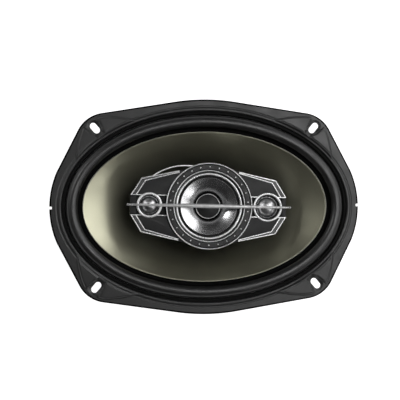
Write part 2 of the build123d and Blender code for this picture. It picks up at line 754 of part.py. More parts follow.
def wing_trim(side):
    """The bright lines on one wing: its edge, an inner line, and the channel's edges."""
    tweeter_ring = [t[3] for t in tweeters.values() if t[0] == side][0]
    edge_slope = (join_y - wing_y) / (wing_x - join_x)
    with BuildPart() as trim:
        with BuildSketch(pod_plane.offset(pod_front)):
            for up in (1, -1):
                for inset in trim_insets:
                    # Lines parallel to the two outer edges of a wing panel.
                    with BuildLine():
                        Polyline(
                            (side * (join_x + trim_start), up * (join_y - trim_start * edge_slope - inset)),
                            (side * (wing_x - inset * corner_shift), up * (wing_y - inset)),
                            (side * (tip_x - inset * tip_shift), up * (tip_y + trim_width / 2)),
                        )
                    trace(line_width=trim_width)
                with BuildLine():
                    Line(
                        (side * (pod_radius + 1.6), up * (tip_y + trim_width / 2)),
                        (side * (tip_x - 0.45), up * (tip_y + trim_width / 2)),
                    )
                trace(line_width=trim_width)
            Circle(pod_radius + 0.3, mode=Mode.SUBTRACT)
            with Locations((side * tweeter_distance, 0)):
                Circle(tweeter_ring + 0.05, mode=Mode.SUBTRACT)
        extrude(amount=trim_height)
    return trim


for name, side in (("left", -1), ("right", 1)):
    save(wing_trim(side), f"wing_trim_{name}")

with BuildPart() as arch_trim:
    # A bright arch that leaves one wing's edge and runs into the round bezel.
    with BuildSketch(pod_plane.offset(pod_front - arch_height)):
        with BuildLine():
            ThreePointArc((-40.5, 22.9), (-25.6, 29.6), (-12.2, 30.9))
        trace(line_width=arch_width)
        Circle(pod_radius + 0.02, mode=Mode.SUBTRACT)
        for side in (1, -1):
            add(wing_outline(side), mode=Mode.SUBTRACT)
    extrude(amount=arch_height)
save(arch_trim, "arch_trim")

# ---------------------------------------------------------------- midrange
with BuildPart() as mid_bezel:
    with BuildSketch(pod_plane.offset(pod_front)):
        Circle(bezel_outer)
        Circle(bezel_inner, mode=Mode.SUBTRACT)
    extrude(amount=bezel_face - pod_front)
save(mid_bezel, "mid_bezel")

with BuildPart() as mid_bezel_trims:
    for inner, outer in ((bezel_outer, pod_radius), (bezel_inner - bezel_lip, bezel_inner)):
        with BuildSketch(pod_plane.offset(pod_front)):
            Circle(outer)
            Circle(inner, mode=Mode.SUBTRACT)
        extrude(amount=bar_bottom - pod_front)
    fillet(mid_bezel_trims.edges().group_by(Axis.Z)[-1], 0.3)
save(mid_bezel_trims, "mid_bezel_trims")

with BuildPart() as bezel_studs:
    # Small eight-sided studs round the bezel's dark band.
    with BuildSketch(pod_plane.offset(bezel_face)):
        with PolarLocations(stud_circle, stud_count, start_angle=180 / stud_count):
            RegularPolygon(stud_radius, 8)
    extrude(amount=stud_height)
    chamfer(bezel_studs.edges().group_by(Axis.Z)[-1], stud_height * 0.7)
save(bezel_studs, "bezel_studs")

with BuildPart() as mid_lip_ring:
    with BuildSketch(Plane.XY.offset(mid_flange_z)):
        Circle(mid_lip_outer)
        Circle(mid_lip_inner, mode=Mode.SUBTRACT)
    extrude(amount=mid_lip_height)
    fillet(mid_lip_ring.edges().group_by(Axis.Z)[-1], 0.5)
save(mid_lip_ring, "mid_lip_ring")

with BuildPart() as mid_frame:
    # Pressed dish that carries the surround on its flange and the yoke under its floor.
    with BuildSketch(Plane.XZ):
        with BuildLine():
            Polyline(
                (mid_yoke_inner, mid_yoke_top),
                (mid_yoke_outer + 1, mid_yoke_top),
                (mid_lip_inner, mid_flange_z - mid_sheet),
                (mid_opening - 0.1, mid_flange_z - mid_sheet),
                (mid_opening - 0.1, mid_flange_z),
                (mid_lip_inner - 0.6, mid_flange_z),
                (mid_yoke_outer + 0.5, mid_yoke_top + mid_sheet),
                (mid_yoke_inner, mid_yoke_top + mid_sheet),
                close=True,
            )
        make_face()
    revolve(axis=Axis.Z)
save(mid_frame, "mid_frame")

with BuildPart() as mid_surround:
    with BuildSketch(Plane.XZ):
        with BuildLine():
            Polyline(
                (mid_cone_radius + 0.2, mid_flange_z + 0.3),
                (mid_cone_radius + 0.2, mid_flange_z + mid_roll_foot),
                (mid_cone_radius + mid_roll_start, mid_flange_z + mid_roll_foot),
            )
            ThreePointArc(
                (mid_cone_radius + mid_roll_start, mid_flange_z + mid_roll_foot),
                (mid_cone_radius + (mid_roll_start + mid_roll_end) / 2, mid_flange_z + mid_roll_top),
                (mid_cone_radius + mid_roll_end, mid_flange_z + mid_roll_foot),
            )
            Polyline(
                (mid_cone_radius + mid_roll_end, mid_flange_z + mid_roll_foot),
                (mid_lip_inner - 0.1, mid_flange_z + 0.4),
                (mid_lip_inner - 0.1, mid_flange_z),
                (mid_cone_radius + mid_roll_end, mid_flange_z),
                (mid_cone_radius + mid_roll_end - 0.1, mid_flange_z + 0.3),
                (mid_cone_radius + 0.2, mid_flange_z + 0.3),
            )
        make_face()
    revolve(axis=Axis.Z)
save(mid_surround, "mid_surround")

with BuildPart() as mid_cone:
    with BuildSketch(Plane.XZ):
        with BuildLine():
            rim = (mid_cone_radius, mid_cone_z)
            neck = (mid_coil_inner + 0.3, mid_neck_z)
            bow = ((rim[0] + neck[0]) / 2 - 1.1, (rim[1] + neck[1]) / 2 + 1.1)
            ThreePointArc(rim, bow, neck)
            Polyline(neck, (neck[0], neck[1] - mid_paper), (neck[0] + mid_paper, neck[1] - mid_paper))
            ThreePointArc(
                (neck[0] + mid_paper, neck[1] - mid_paper),
                (bow[0] + mid_paper * 0.7, bow[1] - mid_paper * 0.7),
                (rim[0], rim[1] - mid_paper),
            )
            Line((rim[0], rim[1] - mid_paper), rim)
        make_face()
    revolve(axis=Axis.Z)
save(mid_cone, "mid_cone")

with BuildPart() as mid_dust_cap:
    with BuildSketch(Plane.XZ):
        with BuildLine():
            ThreePointArc(*cap_arc(mid_cap_radius, mid_cap_height, mid_cap_z, outwards=True))
            Line((mid_cap_radius, mid_cap_z), (mid_cap_radius - mid_paper, mid_cap_z))
            ThreePointArc(
                *cap_arc(mid_cap_radius - mid_paper, mid_cap_height - mid_paper, mid_cap_z, outwards=False)
            )
            Line((0, mid_cap_z + mid_cap_height - mid_paper), (0, mid_cap_z + mid_cap_height))
        make_face()
    revolve(axis=Axis.Z)
save(mid_dust_cap, "mid_dust_cap")

with BuildPart() as mid_voice_coil:
    with BuildSketch(Plane.XY.offset(mid_yoke_top - 3.6)):
        Circle(mid_coil_inner + 0.7)
        Circle(mid_coil_inner, mode=Mode.SUBTRACT)
    extrude(amount=3.6)
    with BuildSketch(Plane.XY.offset(mid_yoke_top)):
        Circle(mid_coil_inner + 0.3)
        Circle(mid_coil_inner, mode=Mode.SUBTRACT)
    extrude(amount=mid_neck_z - mid_yoke_top)
save(mid_voice_coil, "mid_voice_coil")


def cup_motor(name, plane, outer, inner, depth, floor, magnet_r, magnet_h, plate_h):
    """A small motor: a steel cup with a disc magnet and a pole plate stacked inside it."""
    with BuildPart() as yoke:
        with BuildSketch(plane):
            Circle(outer)
        extrude(amount=depth)
        with BuildSketch(plane.offset(floor)):
            Circle(inner)
        extrude(amount=depth - floor, mode=Mode.SUBTRACT)
        fillet(yoke.edges().group_by(Axis.Z)[0], 0.6)
    save(yoke, f"{name}_yoke")
    with BuildPart() as disc:
        with BuildSketch(plane.offset(floor)):
            Circle(magnet_r)
        extrude(amount=magnet_h)
    save(disc, f"{name}_magnet")
    with BuildPart() as plate:
        with BuildSketch(plane.offset(floor + magnet_h)):
            Circle(magnet_r + 0.4)
        extrude(amount=plate_h)
    save(plate, f"{name}_top_plate")


cup_motor(
    "mid",
    Plane.XY.offset(pod_cup_floor),
    outer=mid_yoke_outer,
    inner=mid_yoke_inner,
    depth=mid_yoke_top - pod_cup_floor,
    floor=2.2,
    magnet_r=7.6,
    magnet_h=5.8,
    plate_h=2.2,
)

with BuildPart() as crossover_capacitors:
    for index in range(capacitor_count):
        turn = radians(capacitor_start_angle + 360 / capacitor_count * index)
        axis_plane = Plane(
            origin=(capacitor_circle * cos(turn), capacitor_circle * sin(turn), capacitor_z),
            x_dir=(0, 0, 1),
            z_dir=(-sin(turn), cos(turn), 0),
        )
        with BuildSketch(axis_plane.offset(-capacitor_length / 2)):
            Circle(capacitor_radius)
        extrude(amount=capacitor_length)
    fillet(crossover_capacitors.edges().filter_by(GeomType.CIRCLE), 0.5)
save(crossover_capacitors, "crossover_capacitors")

# ---------------------------------------------------------------- tweeters
for name, (side, dome_radius, ring_inner, ring_outer) in tweeters.items():
    seat = Plane(
        origin=pod_plane.from_local_coords((side * tweeter_distance, 0, 0)),
        x_dir=pod_plane.x_dir,
        z_dir=(0, 0, 1),
    )
    with BuildPart() as ring:
        with BuildSketch(seat.offset(channel_floor)):
            Circle(ring_outer)
            Circle(ring_inner, mode=Mode.SUBTRACT)
        extrude(amount=ring_height)
        fillet(ring.edges().group_by(Axis.Z)[-1], 0.6)
    save(ring, f"tweeter_{name}_ring")

    yoke_inner = dome_radius + 1.5
    cup_motor(
        f"tweeter_{name}",
        seat.offset(pod_split + 0.1),
        outer=yoke_inner + 1.6,
        inner=yoke_inner,
        depth=tweeter_yoke_top - pod_split - 0.1,
        floor=1.4,
        magnet_r=dome_radius - 0.9,
        magnet_h=2.8,
        plate_h=1.2,
    )

    with BuildPart() as dome:
        # The dome and the flat roll round it are one pressing, drawn on its own axis.
        base = tweeter_yoke_top + dome_lift
        height = dome_radius * dome_rise
        with BuildSketch(Plane(origin=seat.origin, x_dir=(1, 0, 0), z_dir=(0, -1, 0))):
            with BuildLine():
                ThreePointArc(*cap_arc(dome_radius, height, base, outwards=True))
                Polyline(
                    (dome_radius, base),
                    (yoke_inner, base),
                    (yoke_inner, base - dome_skin),
                    (dome_radius - dome_skin, base - dome_skin),
                )
                ThreePointArc(*cap_arc(dome_radius - dome_skin, height, base - dome_skin, outwards=False))
                Line((0, base + height - dome_skin), (0, base + height))
            make_face()
        revolve(axis=Axis((seat.origin.X, seat.origin.Y, 0), (0, 0, 1)))
    save(dome, f"tweeter_{name}_dome")

    with BuildPart() as coil:
        with BuildSketch(seat.offset(base - dome_skin - tweeter_coil_height)):
            Circle(dome_radius + 0.6)
            Circle(dome_radius, mode=Mode.SUBTRACT)
        extrude(amount=tweeter_coil_height)
    save(coil, f"tweeter_{name}_coil")
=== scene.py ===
"""The looks of the four-way coaxial car speaker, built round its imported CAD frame.

Every place and size is worked out from the CAD nodes' boxes, and lengths are in millimetres
until a mesh is made. +Z is the front, X the long side of the oval, and the floor lies under
the back plate. Pieces that the CAD shows plainly are replaced by finer ones of the same size.
"""
import cmath
import math

import bmesh
import bpy
import numpy as np
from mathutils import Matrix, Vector


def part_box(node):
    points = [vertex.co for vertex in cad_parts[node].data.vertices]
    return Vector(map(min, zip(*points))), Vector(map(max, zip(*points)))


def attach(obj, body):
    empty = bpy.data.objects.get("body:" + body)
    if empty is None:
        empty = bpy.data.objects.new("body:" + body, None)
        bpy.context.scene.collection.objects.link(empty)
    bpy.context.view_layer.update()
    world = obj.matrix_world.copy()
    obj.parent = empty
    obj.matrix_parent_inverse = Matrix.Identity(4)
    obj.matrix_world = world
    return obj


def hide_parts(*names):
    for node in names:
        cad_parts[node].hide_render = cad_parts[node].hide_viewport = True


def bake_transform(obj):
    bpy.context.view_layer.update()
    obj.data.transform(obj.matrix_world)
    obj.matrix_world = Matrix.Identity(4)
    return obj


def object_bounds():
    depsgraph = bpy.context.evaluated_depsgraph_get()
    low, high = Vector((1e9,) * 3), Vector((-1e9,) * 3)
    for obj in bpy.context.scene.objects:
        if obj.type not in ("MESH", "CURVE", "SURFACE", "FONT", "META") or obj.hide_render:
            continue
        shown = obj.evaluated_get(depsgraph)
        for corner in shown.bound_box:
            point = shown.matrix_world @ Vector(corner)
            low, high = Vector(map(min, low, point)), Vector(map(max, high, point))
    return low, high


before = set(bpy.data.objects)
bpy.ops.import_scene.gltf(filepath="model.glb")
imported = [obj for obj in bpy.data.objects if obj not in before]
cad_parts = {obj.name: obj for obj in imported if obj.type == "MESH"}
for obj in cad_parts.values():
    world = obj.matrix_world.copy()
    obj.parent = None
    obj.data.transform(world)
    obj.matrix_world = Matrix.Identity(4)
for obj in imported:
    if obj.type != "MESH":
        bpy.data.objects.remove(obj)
cad_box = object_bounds()

MM = 0.001
TURN = 2 * math.pi
CUT_CREASE = 40.0       # degrees at which the edge of a pressed or cut piece is sharp


# ---------------------------------------------------------------- reading the frame
def low(node):
    """Lowest corner of a CAD node, in millimetres."""
    return np.array(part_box(node)[0]) / MM


def high(node):
    """Highest corner of a CAD node, in millimetres."""
    return np.array(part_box(node)[1]) / MM


def middle(node):
    """Centre of a CAD node's box, in millimetres."""
    return (low(node) + high(node)) / 2


def half(node):
    """Half the size of a CAD node's box, in millimetres."""
    return (high(node) - low(node)) / 2


# ---------------------------------------------------------------- mesh tools
def smooth_step(value, start, end):
    """0 before start, 1 after end, and a smooth rise between them."""
    share = np.clip((value - start) / (end - start), 0, 1)
    return share * share * (3 - 2 * share)


def unit(vectors):
    """Vectors at a length of 1."""
    return vectors / np.linalg.norm(vectors, axis=-1, keepdims=True)


def arc(start, finish, count):
    """Points on a circle of radius 1, from one angle to another."""
    turns = np.linspace(start, finish, count)
    return np.column_stack([np.cos(turns), np.sin(turns)])


def ring(count):
    """Points round a circle of radius 1, anticlockwise."""
    return arc(0, TURN, count + 1)[:-1]


def level(flat, z):
    """Flat points at one height, or each at its own."""
    return np.column_stack([flat, np.broadcast_to(z, len(flat))])


def rounded(corners, radius=0.3, steps=4):
    """A closed outline with rounded corners. A corner's third number is its own radius."""
    outline, straight = [], 0.02
    for index, corner in enumerate(corners):
        here = np.array(corner[:2], float)
        before = np.array(corners[index - 1][:2], float) - here
        after = np.array(corners[(index + 1) % len(corners)][:2], float) - here
        room = 0.48 * min(np.linalg.norm(before), np.linalg.norm(after))
        before, after = unit(before), unit(after)
        wanted = corner[2] if len(corner) > 2 else radius
        opening = math.acos(np.clip(before @ after, -1, 1))
        if wanted <= 0 or not straight < opening < math.pi - straight:
            outline.append(here)
            continue
        reach = min(wanted / math.tan(opening / 2), room)
        centre = here + unit(before + after) * reach / math.cos(opening / 2)
        first, last = here + before * reach - centre, here + after * reach - centre
        sweep = math.pi - opening
        for share in np.linspace(0, 1, steps + 1):
            arc = first * math.sin((1 - share) * sweep) + last * math.sin(share * sweep)
            outline.append(centre + arc / math.sin(sweep))
    return np.array(outline)


class Shape:
    """Points in millimetres and faces, gathered from several closed parts."""

    def __init__(self):
        self.points, self.faces, self.marks = [], [], []

    def add(self, points, faces, marks=None):
        """Takes in one more part. marks are the numbers of its faces' materials."""
        start = sum(len(p) for p in self.points)
        self.points.append(np.asarray(points, float))
        self.faces += [tuple(start + i for i in face) for face in faces]
        self.marks += marks or [0] * len(faces)
        return self


def joined(rows, shape=None, ends=False, marks=None):
    """Rows of points joined by quads, the last one to the first or else each to an end face."""
    count, total = len(rows[0]), len(rows) * len(rows[0])
    r, c = np.meshgrid(np.arange(len(rows) - ends), np.arange(count), indexing="ij")
    next_r, next_c = (r + 1) % len(rows), (c + 1) % count
    corners = (r * count + c, r * count + next_c, next_r * count + next_c, next_r * count + c)
    faces = np.stack([corner.ravel() for corner in corners], axis=1).tolist()
    if ends:
        faces += [tuple(reversed(range(count))), tuple(range(total - count, total))]
    return (shape or Shape()).add(np.concatenate(rows), faces, marks)


def turned(profile, centre=(0, 0), steps=128, shape=None):
    """A closed profile of (radius, height) turned round an upright axis."""
    return joined([level(centre + radius * ring(steps), z) for radius, z in profile], shape)


def round_oval(a, b, profile, steps=320):
    """A closed profile of (distance outwards, height) swept round the oval edge a by b."""
    edge, outwards = ring(steps) * (a, b), unit(ring(steps) * (b, a))
    return joined([level(edge + out * outwards, z) for out, z in profile])


def inset(outline, distance):
    """A closed outline, drawn anticlockwise, moved inwards with mitred corners."""
    left = unit(np.roll(outline, -1, 0) - outline)[:, ::-1] * (-1, 1)
    mitre = left + np.roll(left, 1, 0)
    return outline + mitre * distance / np.maximum(np.sum(mitre * left, axis=1), 0.3)[:, None]


def slab(outline, bottom, top, edge=0.0, foot=0.0, shape=None):
    """A flat piece of any outline, with its top edge rounded by edge and its bottom one by foot."""
    quarter, outline = 1 - arc(0, math.pi / 2, 5), np.asarray(outline, float)
    layers = [*(quarter[:, ::-1] * foot + (0, bottom))] if foot else [(0, bottom)]
    layers += [*(quarter * (edge, -edge) + (0, top))]
    return joined([level(inset(outline, d), z) for d, z in layers], shape, ends=True)


def strip(path, width, bottom, top, edge, shape=None):
    """A bar of rounded section along an open line of flat points, mitred at its corners."""
    path, across = np.asarray(path, float), width / 2
    left = unit(np.diff(path, axis=0))[:, ::-1] * (-1, 1)
    side = np.vstack([left[:1], left[:-1] + left[1:], left[-1:]])
    side[1:-1] /= np.maximum(np.sum(side[1:-1] * left[1:], axis=1), 0.3)[:, None]
    corners = [(-across, bottom, 0), (across, bottom, 0), (across, top), (-across, top)]
    section = rounded(corners, edge, 3)
    rows = [level(p + s * section[:, :1], section[:, 1]) for p, s in zip(path, side)]
    return joined(rows, shape, ends=True)


def tube(path, radius, shape, sides=7):
    """A round rod along a line of points in space, with closed ends."""
    along = unit(np.gradient(path, axis=0))
    across, rows = np.cross(along[0], (0.3, 0.2, 0.9)), []
    for point, ahead in zip(path, along):
        across = unit(across - ahead * (across @ ahead))
        rows.append(point + radius * ring(sides) @ [across, np.cross(ahead, across)])
    return joined(rows, shape, ends=True)


def make_object(name, shape, *coats, crease=35.0):
    """A mesh object from a shape, with its normals outwards and its edges sharp where they turn."""
    mesh = bpy.data.meshes.new(name)
    for coat in coats:
        mesh.materials.append(coat)
    mesh.from_pydata((np.concatenate(shape.points) * MM).tolist(), [], shape.faces)
    mesh.polygons.foreach_set("material_index", shape.marks)
    editable = bmesh.new()
    editable.from_mesh(mesh)
    bmesh.ops.remove_doubles(editable, verts=editable.verts, dist=MM * 1e-4)
    bmesh.ops.dissolve_degenerate(editable, edges=editable.edges, dist=MM * 1e-4)
    bmesh.ops.recalc_face_normals(editable, faces=editable.faces)
    editable.to_mesh(mesh)
    editable.free()
    piece = bpy.data.objects.new(name, mesh)
    bpy.context.scene.collection.objects.link(piece)
    shade(mesh, crease)
    return piece


def shade(mesh, crease):
    """Smooth shading with sharp edges where faces meet at more than crease degrees."""
    mesh.polygons.foreach_set("use_smooth", np.ones(len(mesh.polygons), bool))
    mesh.set_sharp_from_angle(angle=math.radians(crease))


def with_modifier(piece, kind, **settings):
    """Applies one modifier to a piece's mesh."""
    modifier = piece.modifiers.new(kind.lower(), kind)
    for key, value in settings.items():
        setattr(modifier, key, value)
    graph = bpy.context.evaluated_depsgraph_get()
    made = bpy.data.meshes.new_from_object(piece.evaluated_get(graph), depsgraph=graph)
    piece.modifiers.clear()
    piece.data = made
    shade(made, CUT_CREASE)


def cut(piece, *cutter_shapes):
    """Takes shapes away from a piece, one after another."""
    for shape in cutter_shapes:
        cutter = make_object(piece.name + ".cutter", shape)
        with_modifier(piece, "BOOLEAN", object=cutter, operation="DIFFERENCE", solver="EXACT")
        bpy.data.objects.remove(cutter)


def bevel(piece, width, angle=55):
    """Breaks the edges of a piece where its faces meet at more than an angle in degrees."""
    with_modifier(piece, "BEVEL", width=width * MM, segments=2,
                  limit_method="ANGLE", angle_limit=math.radians(angle))


def finish_piece(piece, body, node):
    """Gives a piece its body and hides the CAD node it stands for."""
    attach(piece, body)
    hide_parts(node)


def add_piece(name, shape, body, coat, node, crease=35.0):
    """Makes a piece from a shape and finishes it."""
    finish_piece(make_object(name, shape, coat, crease=crease), body, node)


def finish_bending(piece, node, weights):
    """Hides the CAD node of a piece meant to bend with a moving body, and bakes its place into its
    mesh.

    A weight for each point, how far it should follow that body, is smoothed but not used.
    """
    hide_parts(node)
    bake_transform(piece)
    weights = smooth_step(weights, 0, 1).astype(np.float32)


def points_of(piece):
    """A piece's points, in millimetres."""
    flat = np.zeros(len(piece.data.vertices) * 3)
    piece.data.vertices.foreach_get("co", flat)
    return flat.reshape(-1, 3) / MM


# ---------------------------------------------------------------- material tools
class Finish:
    """One procedural material, laid out in the piece's own millimetres.

    Its name is its slot in the record, and a variant of one has more after a dot.
    """

    def __init__(self, name, colour, roughness, metallic=0.0, **sockets):
        self.material = bpy.data.materials.new("seen_" + name)
        self.material["slot"] = name.split(".")[0]
        self.material.use_nodes = True
        self.tree = self.material.node_tree
        self.shader = self.tree.nodes["Principled BSDF"]
        sockets.update(Base_Color=(*colour, 1), Roughness=roughness, Metallic=metallic)
        for key, value in sockets.items():
            self.shader.inputs[key.replace("_", " ")].default_value = value
        self.colour, self.tinted, self.normal = colour, None, None
        scale = self.node("ShaderNodeVectorMath", operation="SCALE")
        scale.inputs["Scale"].default_value = 1 / MM
        self.link(self.node("ShaderNodeTexCoord").outputs["Object"], scale.inputs[0])
        self.place = scale.outputs[0]

    def node(self, kind, **settings):
        made = self.tree.nodes.new(kind)
        for key, value in settings.items():
            setattr(made, key, value)
        return made

    def link(self, source, target):
        self.tree.links.new(source, target)

    def stretched(self, x=1.0, y=1.0, z=1.0):
        """The place with each axis multiplied, so that a texture is drawn out."""
        scale = self.node("ShaderNodeVectorMath", operation="MULTIPLY")
        scale.inputs[1].default_value = (x, y, z)
        self.link(self.place, scale.inputs[0])
        return scale.outputs[0]

    def noise(self, size, detail=3, stretch=None):
        """Soft noise with features of about size millimetres, from 0 to 1."""
        made = self.node("ShaderNodeTexNoise")
        for key, number in (("Scale", 1 / size), ("Detail", detail), ("Roughness", 0.55)):
            made.inputs[key].default_value = number
        self.link(self.stretched(*stretch) if stretch else self.place, made.inputs["Vector"])
        return made.outputs["Fac"]

    def cells(self, size, output="Distance"):
        """Voronoi cells of about size millimetres."""
        made = self.node("ShaderNodeTexVoronoi")
        made.inputs["Scale"].default_value = 1 / size
        self.link(self.place, made.inputs["Vector"])
        return made.outputs[output]

    def flakes(self, size):
        """Cells of about size millimetres, each in a grey of its own."""
        grey = self.node("ShaderNodeRGBToBW")
        self.link(self.cells(size, "Color"), grey.inputs[0])
        return grey.outputs[0]

    def math(self, operation, *values):
        made = self.node("ShaderNodeMath", operation=operation)
        for socket, value in zip(made.inputs, values):
            if isinstance(value, (int, float)):
                socket.default_value = value
            else:
                self.link(value, socket)
        return made.outputs[0]

    def times(self, first, second):
        return self.math("MULTIPLY", first, second)

    def mixed(self, first, share, second, other_share):
        """The sum of two values, each multiplied by a share."""
        return self.math("ADD", self.times(first, share), self.times(second, other_share))

    def wave(self, value, rate):
        """Sine of a value multiplied by a rate."""
        return self.math("SINE", self.times(value, rate))

    def spread(self, value, start, end, low_out=0.0, high_out=1.0):
        """Maps a value from start..end to low_out..high_out, and holds it there."""
        made = self.node("ShaderNodeMapRange")
        numbers = {"From Min": start, "From Max": end, "To Min": low_out, "To Max": high_out}
        for key, number in numbers.items():
            made.inputs[key].default_value = number
        self.link(value, made.inputs["Value"])
        return made.outputs["Result"]

    def radius(self, a=1.0, b=1.0):
        """Distance from the Z axis, with X divided by a and Y by b."""
        length = self.node("ShaderNodeVectorMath", operation="LENGTH")
        self.link(self.stretched(1 / a, 1 / b, 0), length.inputs[0])
        return length.outputs["Value"]

    def show(self, colour):
        self.tinted = colour
        self.link(colour, self.shader.inputs["Base Color"])

    def tint(self, factor, *stops):
        """Colours the surface by a factor. A stop is a position and a colour or a share of one."""
        ramp = self.node("ShaderNodeValToRGB")
        while len(ramp.color_ramp.elements) < len(stops):
            ramp.color_ramp.elements.new(0.5)
        for element, (position, colour) in zip(ramp.color_ramp.elements, stops):
            if isinstance(colour, float):
                colour = [min(1.0, part * colour) for part in self.colour]
            element.position, element.color = position, (*colour, 1)
        self.link(factor, ramp.inputs["Fac"])
        self.show(ramp.outputs["Color"])

    def lay_over(self, factor, colour):
        """Lays a colour over the tint there is already, where the factor is 1."""
        mix = self.node("ShaderNodeMix", data_type="RGBA")
        # A mix node has its sockets once for each kind of data: 6 and 7 are the colours.
        self.link(factor, mix.inputs[0])
        self.link(self.tinted, mix.inputs[6])
        mix.inputs[7].default_value = (*colour, 1)
        self.show(mix.outputs[2])

    def rough(self, factor, smooth_value, rough_value):
        """Lets the roughness run between two values with a factor from 0 to 1."""
        spread = self.spread(factor, 0.25, 0.75, smooth_value, rough_value)
        self.link(spread, self.shader.inputs["Roughness"])

    def relief(self, height, depth, strength):
        """Bump of a depth in millimetres, laid over any relief there is already."""
        made = self.node("ShaderNodeBump")
        made.inputs["Distance"].default_value = depth * MM
        made.inputs["Strength"].default_value = strength
        self.link(height, made.inputs["Height"])
        if self.normal:
            self.link(self.normal, made.inputs["Normal"])
        self.normal = made.outputs["Normal"]
        self.link(self.normal, self.shader.inputs["Normal"])


def textured(name, colour, roughness, tint, wear, *reliefs, metallic=0.0, **sockets):
    """A finish from a few noises, each given by its size, its detail and how it is stretched.

    tint is a noise and its stops, wear a noise and two roughnesses, and each relief a noise, a
    depth and a strength.
    """
    coat = Finish(name, colour, roughness, metallic, **sockets)
    coat.tint(coat.noise(*tint[0]), *tint[1:])
    coat.rough(coat.noise(*wear[0]), *wear[1:])
    for texture, depth, strength in reliefs:
        coat.relief(coat.noise(*texture), depth, strength)
    return coat


def painted_steel(name, colour, roughness):
    """Black paint on pressed steel: orange peel, dust specks and rubbed edges."""
    coat = textured(
        name, colour, roughness, [(9,), (0.35, 0.8), (0.7, 1.3)],
        [(14, 4), roughness - 0.07, roughness + 0.1],
        [(0.9, 2), 0.05, 0.7], [(0.22, 1), 0.012, 0.8], Specular_IOR_Level=0.8)
    edge = coat.spread(coat.node("ShaderNodeNewGeometry").outputs["Pointiness"], 0.53, 0.60)
    broken = coat.times(edge, coat.spread(coat.noise(2.2), 0.42, 0.62, 0, 0.5))
    coat.lay_over(broken, (0.11, 0.11, 0.105))
    return coat.material


def moulded(name, colour, roughness, grain, depth, specular=0.4):
    """Moulded plastic or rubber with a fine spark-eroded grain."""
    coat = Finish(name, colour, roughness, Specular_IOR_Level=specular)
    coat.tint(coat.noise(6, 4), (0.3, 0.8), (0.75, 1.25))
    coat.rough(coat.noise(10), roughness - 0.06, roughness + 0.08)
    coat.relief(coat.cells(grain), depth, 0.6)
    coat.relief(coat.noise(2.5), 0.03, 0.4)
    return coat.material


def polished_metal(name, colour, roughness, scratch=0.35, depth=0.004):
    """Bare or plated metal with fine scratches."""
    return textured(
        name, colour, roughness, [(scratch, 5), (0.3, 0.86), (0.7, 1.1)],
        [(scratch * 3, 4), roughness * 0.75, roughness * 1.35],
        [(scratch,), depth, 0.6], metallic=1.0).material


def spun_dish(name, colour, roughness, throat, clear):
    """Smooth spun metal with painted shade in its throat, from one radius in millimetres to
    another.
    """
    coat = textured(
        name, colour, roughness, [(9, 2), (0.3, 0.94), (0.7, colour)],
        [(7, 2), roughness * 0.9, roughness * 1.15], metallic=1.0)
    # Painted shade: the dish fades to near black in its throat, where its steep wall lies in shade.
    coat.lay_over(coat.spread(coat.radius(), throat, clear, 1, 0), (0.03,) * 3)
    return coat.material


def woven(name, colour, thread):
    """Open-weave cloth stiffened with resin: threads over and under, and a stain of resin."""
    coat = Finish(name, colour, 0.85, Sheen_Weight=0.15, Sheen_Roughness=0.5)
    parts = coat.node("ShaderNodeSeparateXYZ")
    coat.link(coat.place, parts.inputs[0])
    warp, weft = [coat.wave(parts.outputs[axis], math.pi / thread) for axis in "XY"]
    threads = coat.math("ADD", coat.math("ABSOLUTE", warp), coat.math("ABSOLUTE", weft))
    weave = coat.mixed(threads, 0.4, coat.times(warp, weft), 0.3)
    coat.tint(coat.mixed(weave, 0.75, coat.noise(5), 0.5), (0.15, 0.4), (0.55, 1.0), (0.95, 1.3))
    coat.relief(weave, 0.09, 0.9)
    return coat.material


def pearl_cone(name, edge_a, edge_b):
    """Metallic pearl on a moulded cone: flakes, a faint turning pattern and a champagne tint.

    Painted shade darkens it towards the neck and dulls its rim bead. The rim's oval is edge_a by
    edge_b.
    """
    coat = Finish(name, (0.56, 0.55, 0.42), 0.32, metallic=0.92)
    flakes, share, fine = coat.flakes(0.35), coat.radius(edge_a, edge_b), 0.0006
    coat.tint(coat.mixed(flakes, 0.2, coat.noise(22, 4), 0.85), (0.2, (0.52, 0.51, 0.385)),
              (0.55, (0.57, 0.56, 0.42)), (0.9, (0.62, 0.61, 0.46)))
    # Painted shade: dark grey towards the neck, where the pod shades the cone.
    coat.lay_over(coat.spread(share, 0.45, 0.84, 1, 0), (0.12, 0.12, 0.11))
    # Painted shade: a darker band on the rim bead dulls its highlight.
    coat.lay_over(coat.spread(share, 0.986, 0.994), (0.16, 0.16, 0.14))
    coat.rough(coat.noise(16), 0.29, 0.33)
    coat.relief(coat.wave(share, 620), fine, 0.2)
    coat.relief(flakes, fine, 0.2)
    return coat.material


def speckled(name):
    """Dark grey paint with bright metal flecks."""
    coat = textured(
        name, (0.02,) * 3, 0.42, [(1.4, 4), (0.3, (0.003,) * 3), (0.7, (0.022,) * 3)],
        [(4,), 0.3, 0.48], [(0.45,), 0.05, 0.8], metallic=0.1, Specular_IOR_Level=0.5)
    flecks = coat.spread(coat.cells(0.5), 0.0, 0.28, 1, 0)
    coat.lay_over(coat.times(flecks, coat.spread(coat.noise(0.8), 0.52, 0.6)), (0.34, 0.34, 0.33))
    return coat.material


def turned_steel(name, colour, roughness):
    """Zinc-plated steel with lathe lines round the Z axis and soft grey spangle."""
    coat = Finish(name, colour, roughness, metallic=1.0)
    spangle = coat.mixed(coat.flakes(5.5), 0.3, coat.noise(7, 5), 0.75)
    coat.tint(spangle, (0.3, 0.72), (0.75, 1.12))
    coat.rough(coat.noise(6, 5), roughness - 0.08, roughness + 0.14)
    coat.relief(coat.wave(coat.radius(), 14), 0.01, 0.5)
    coat.relief(coat.noise(0.8, 4), 0.015, 0.5)
    return coat.material


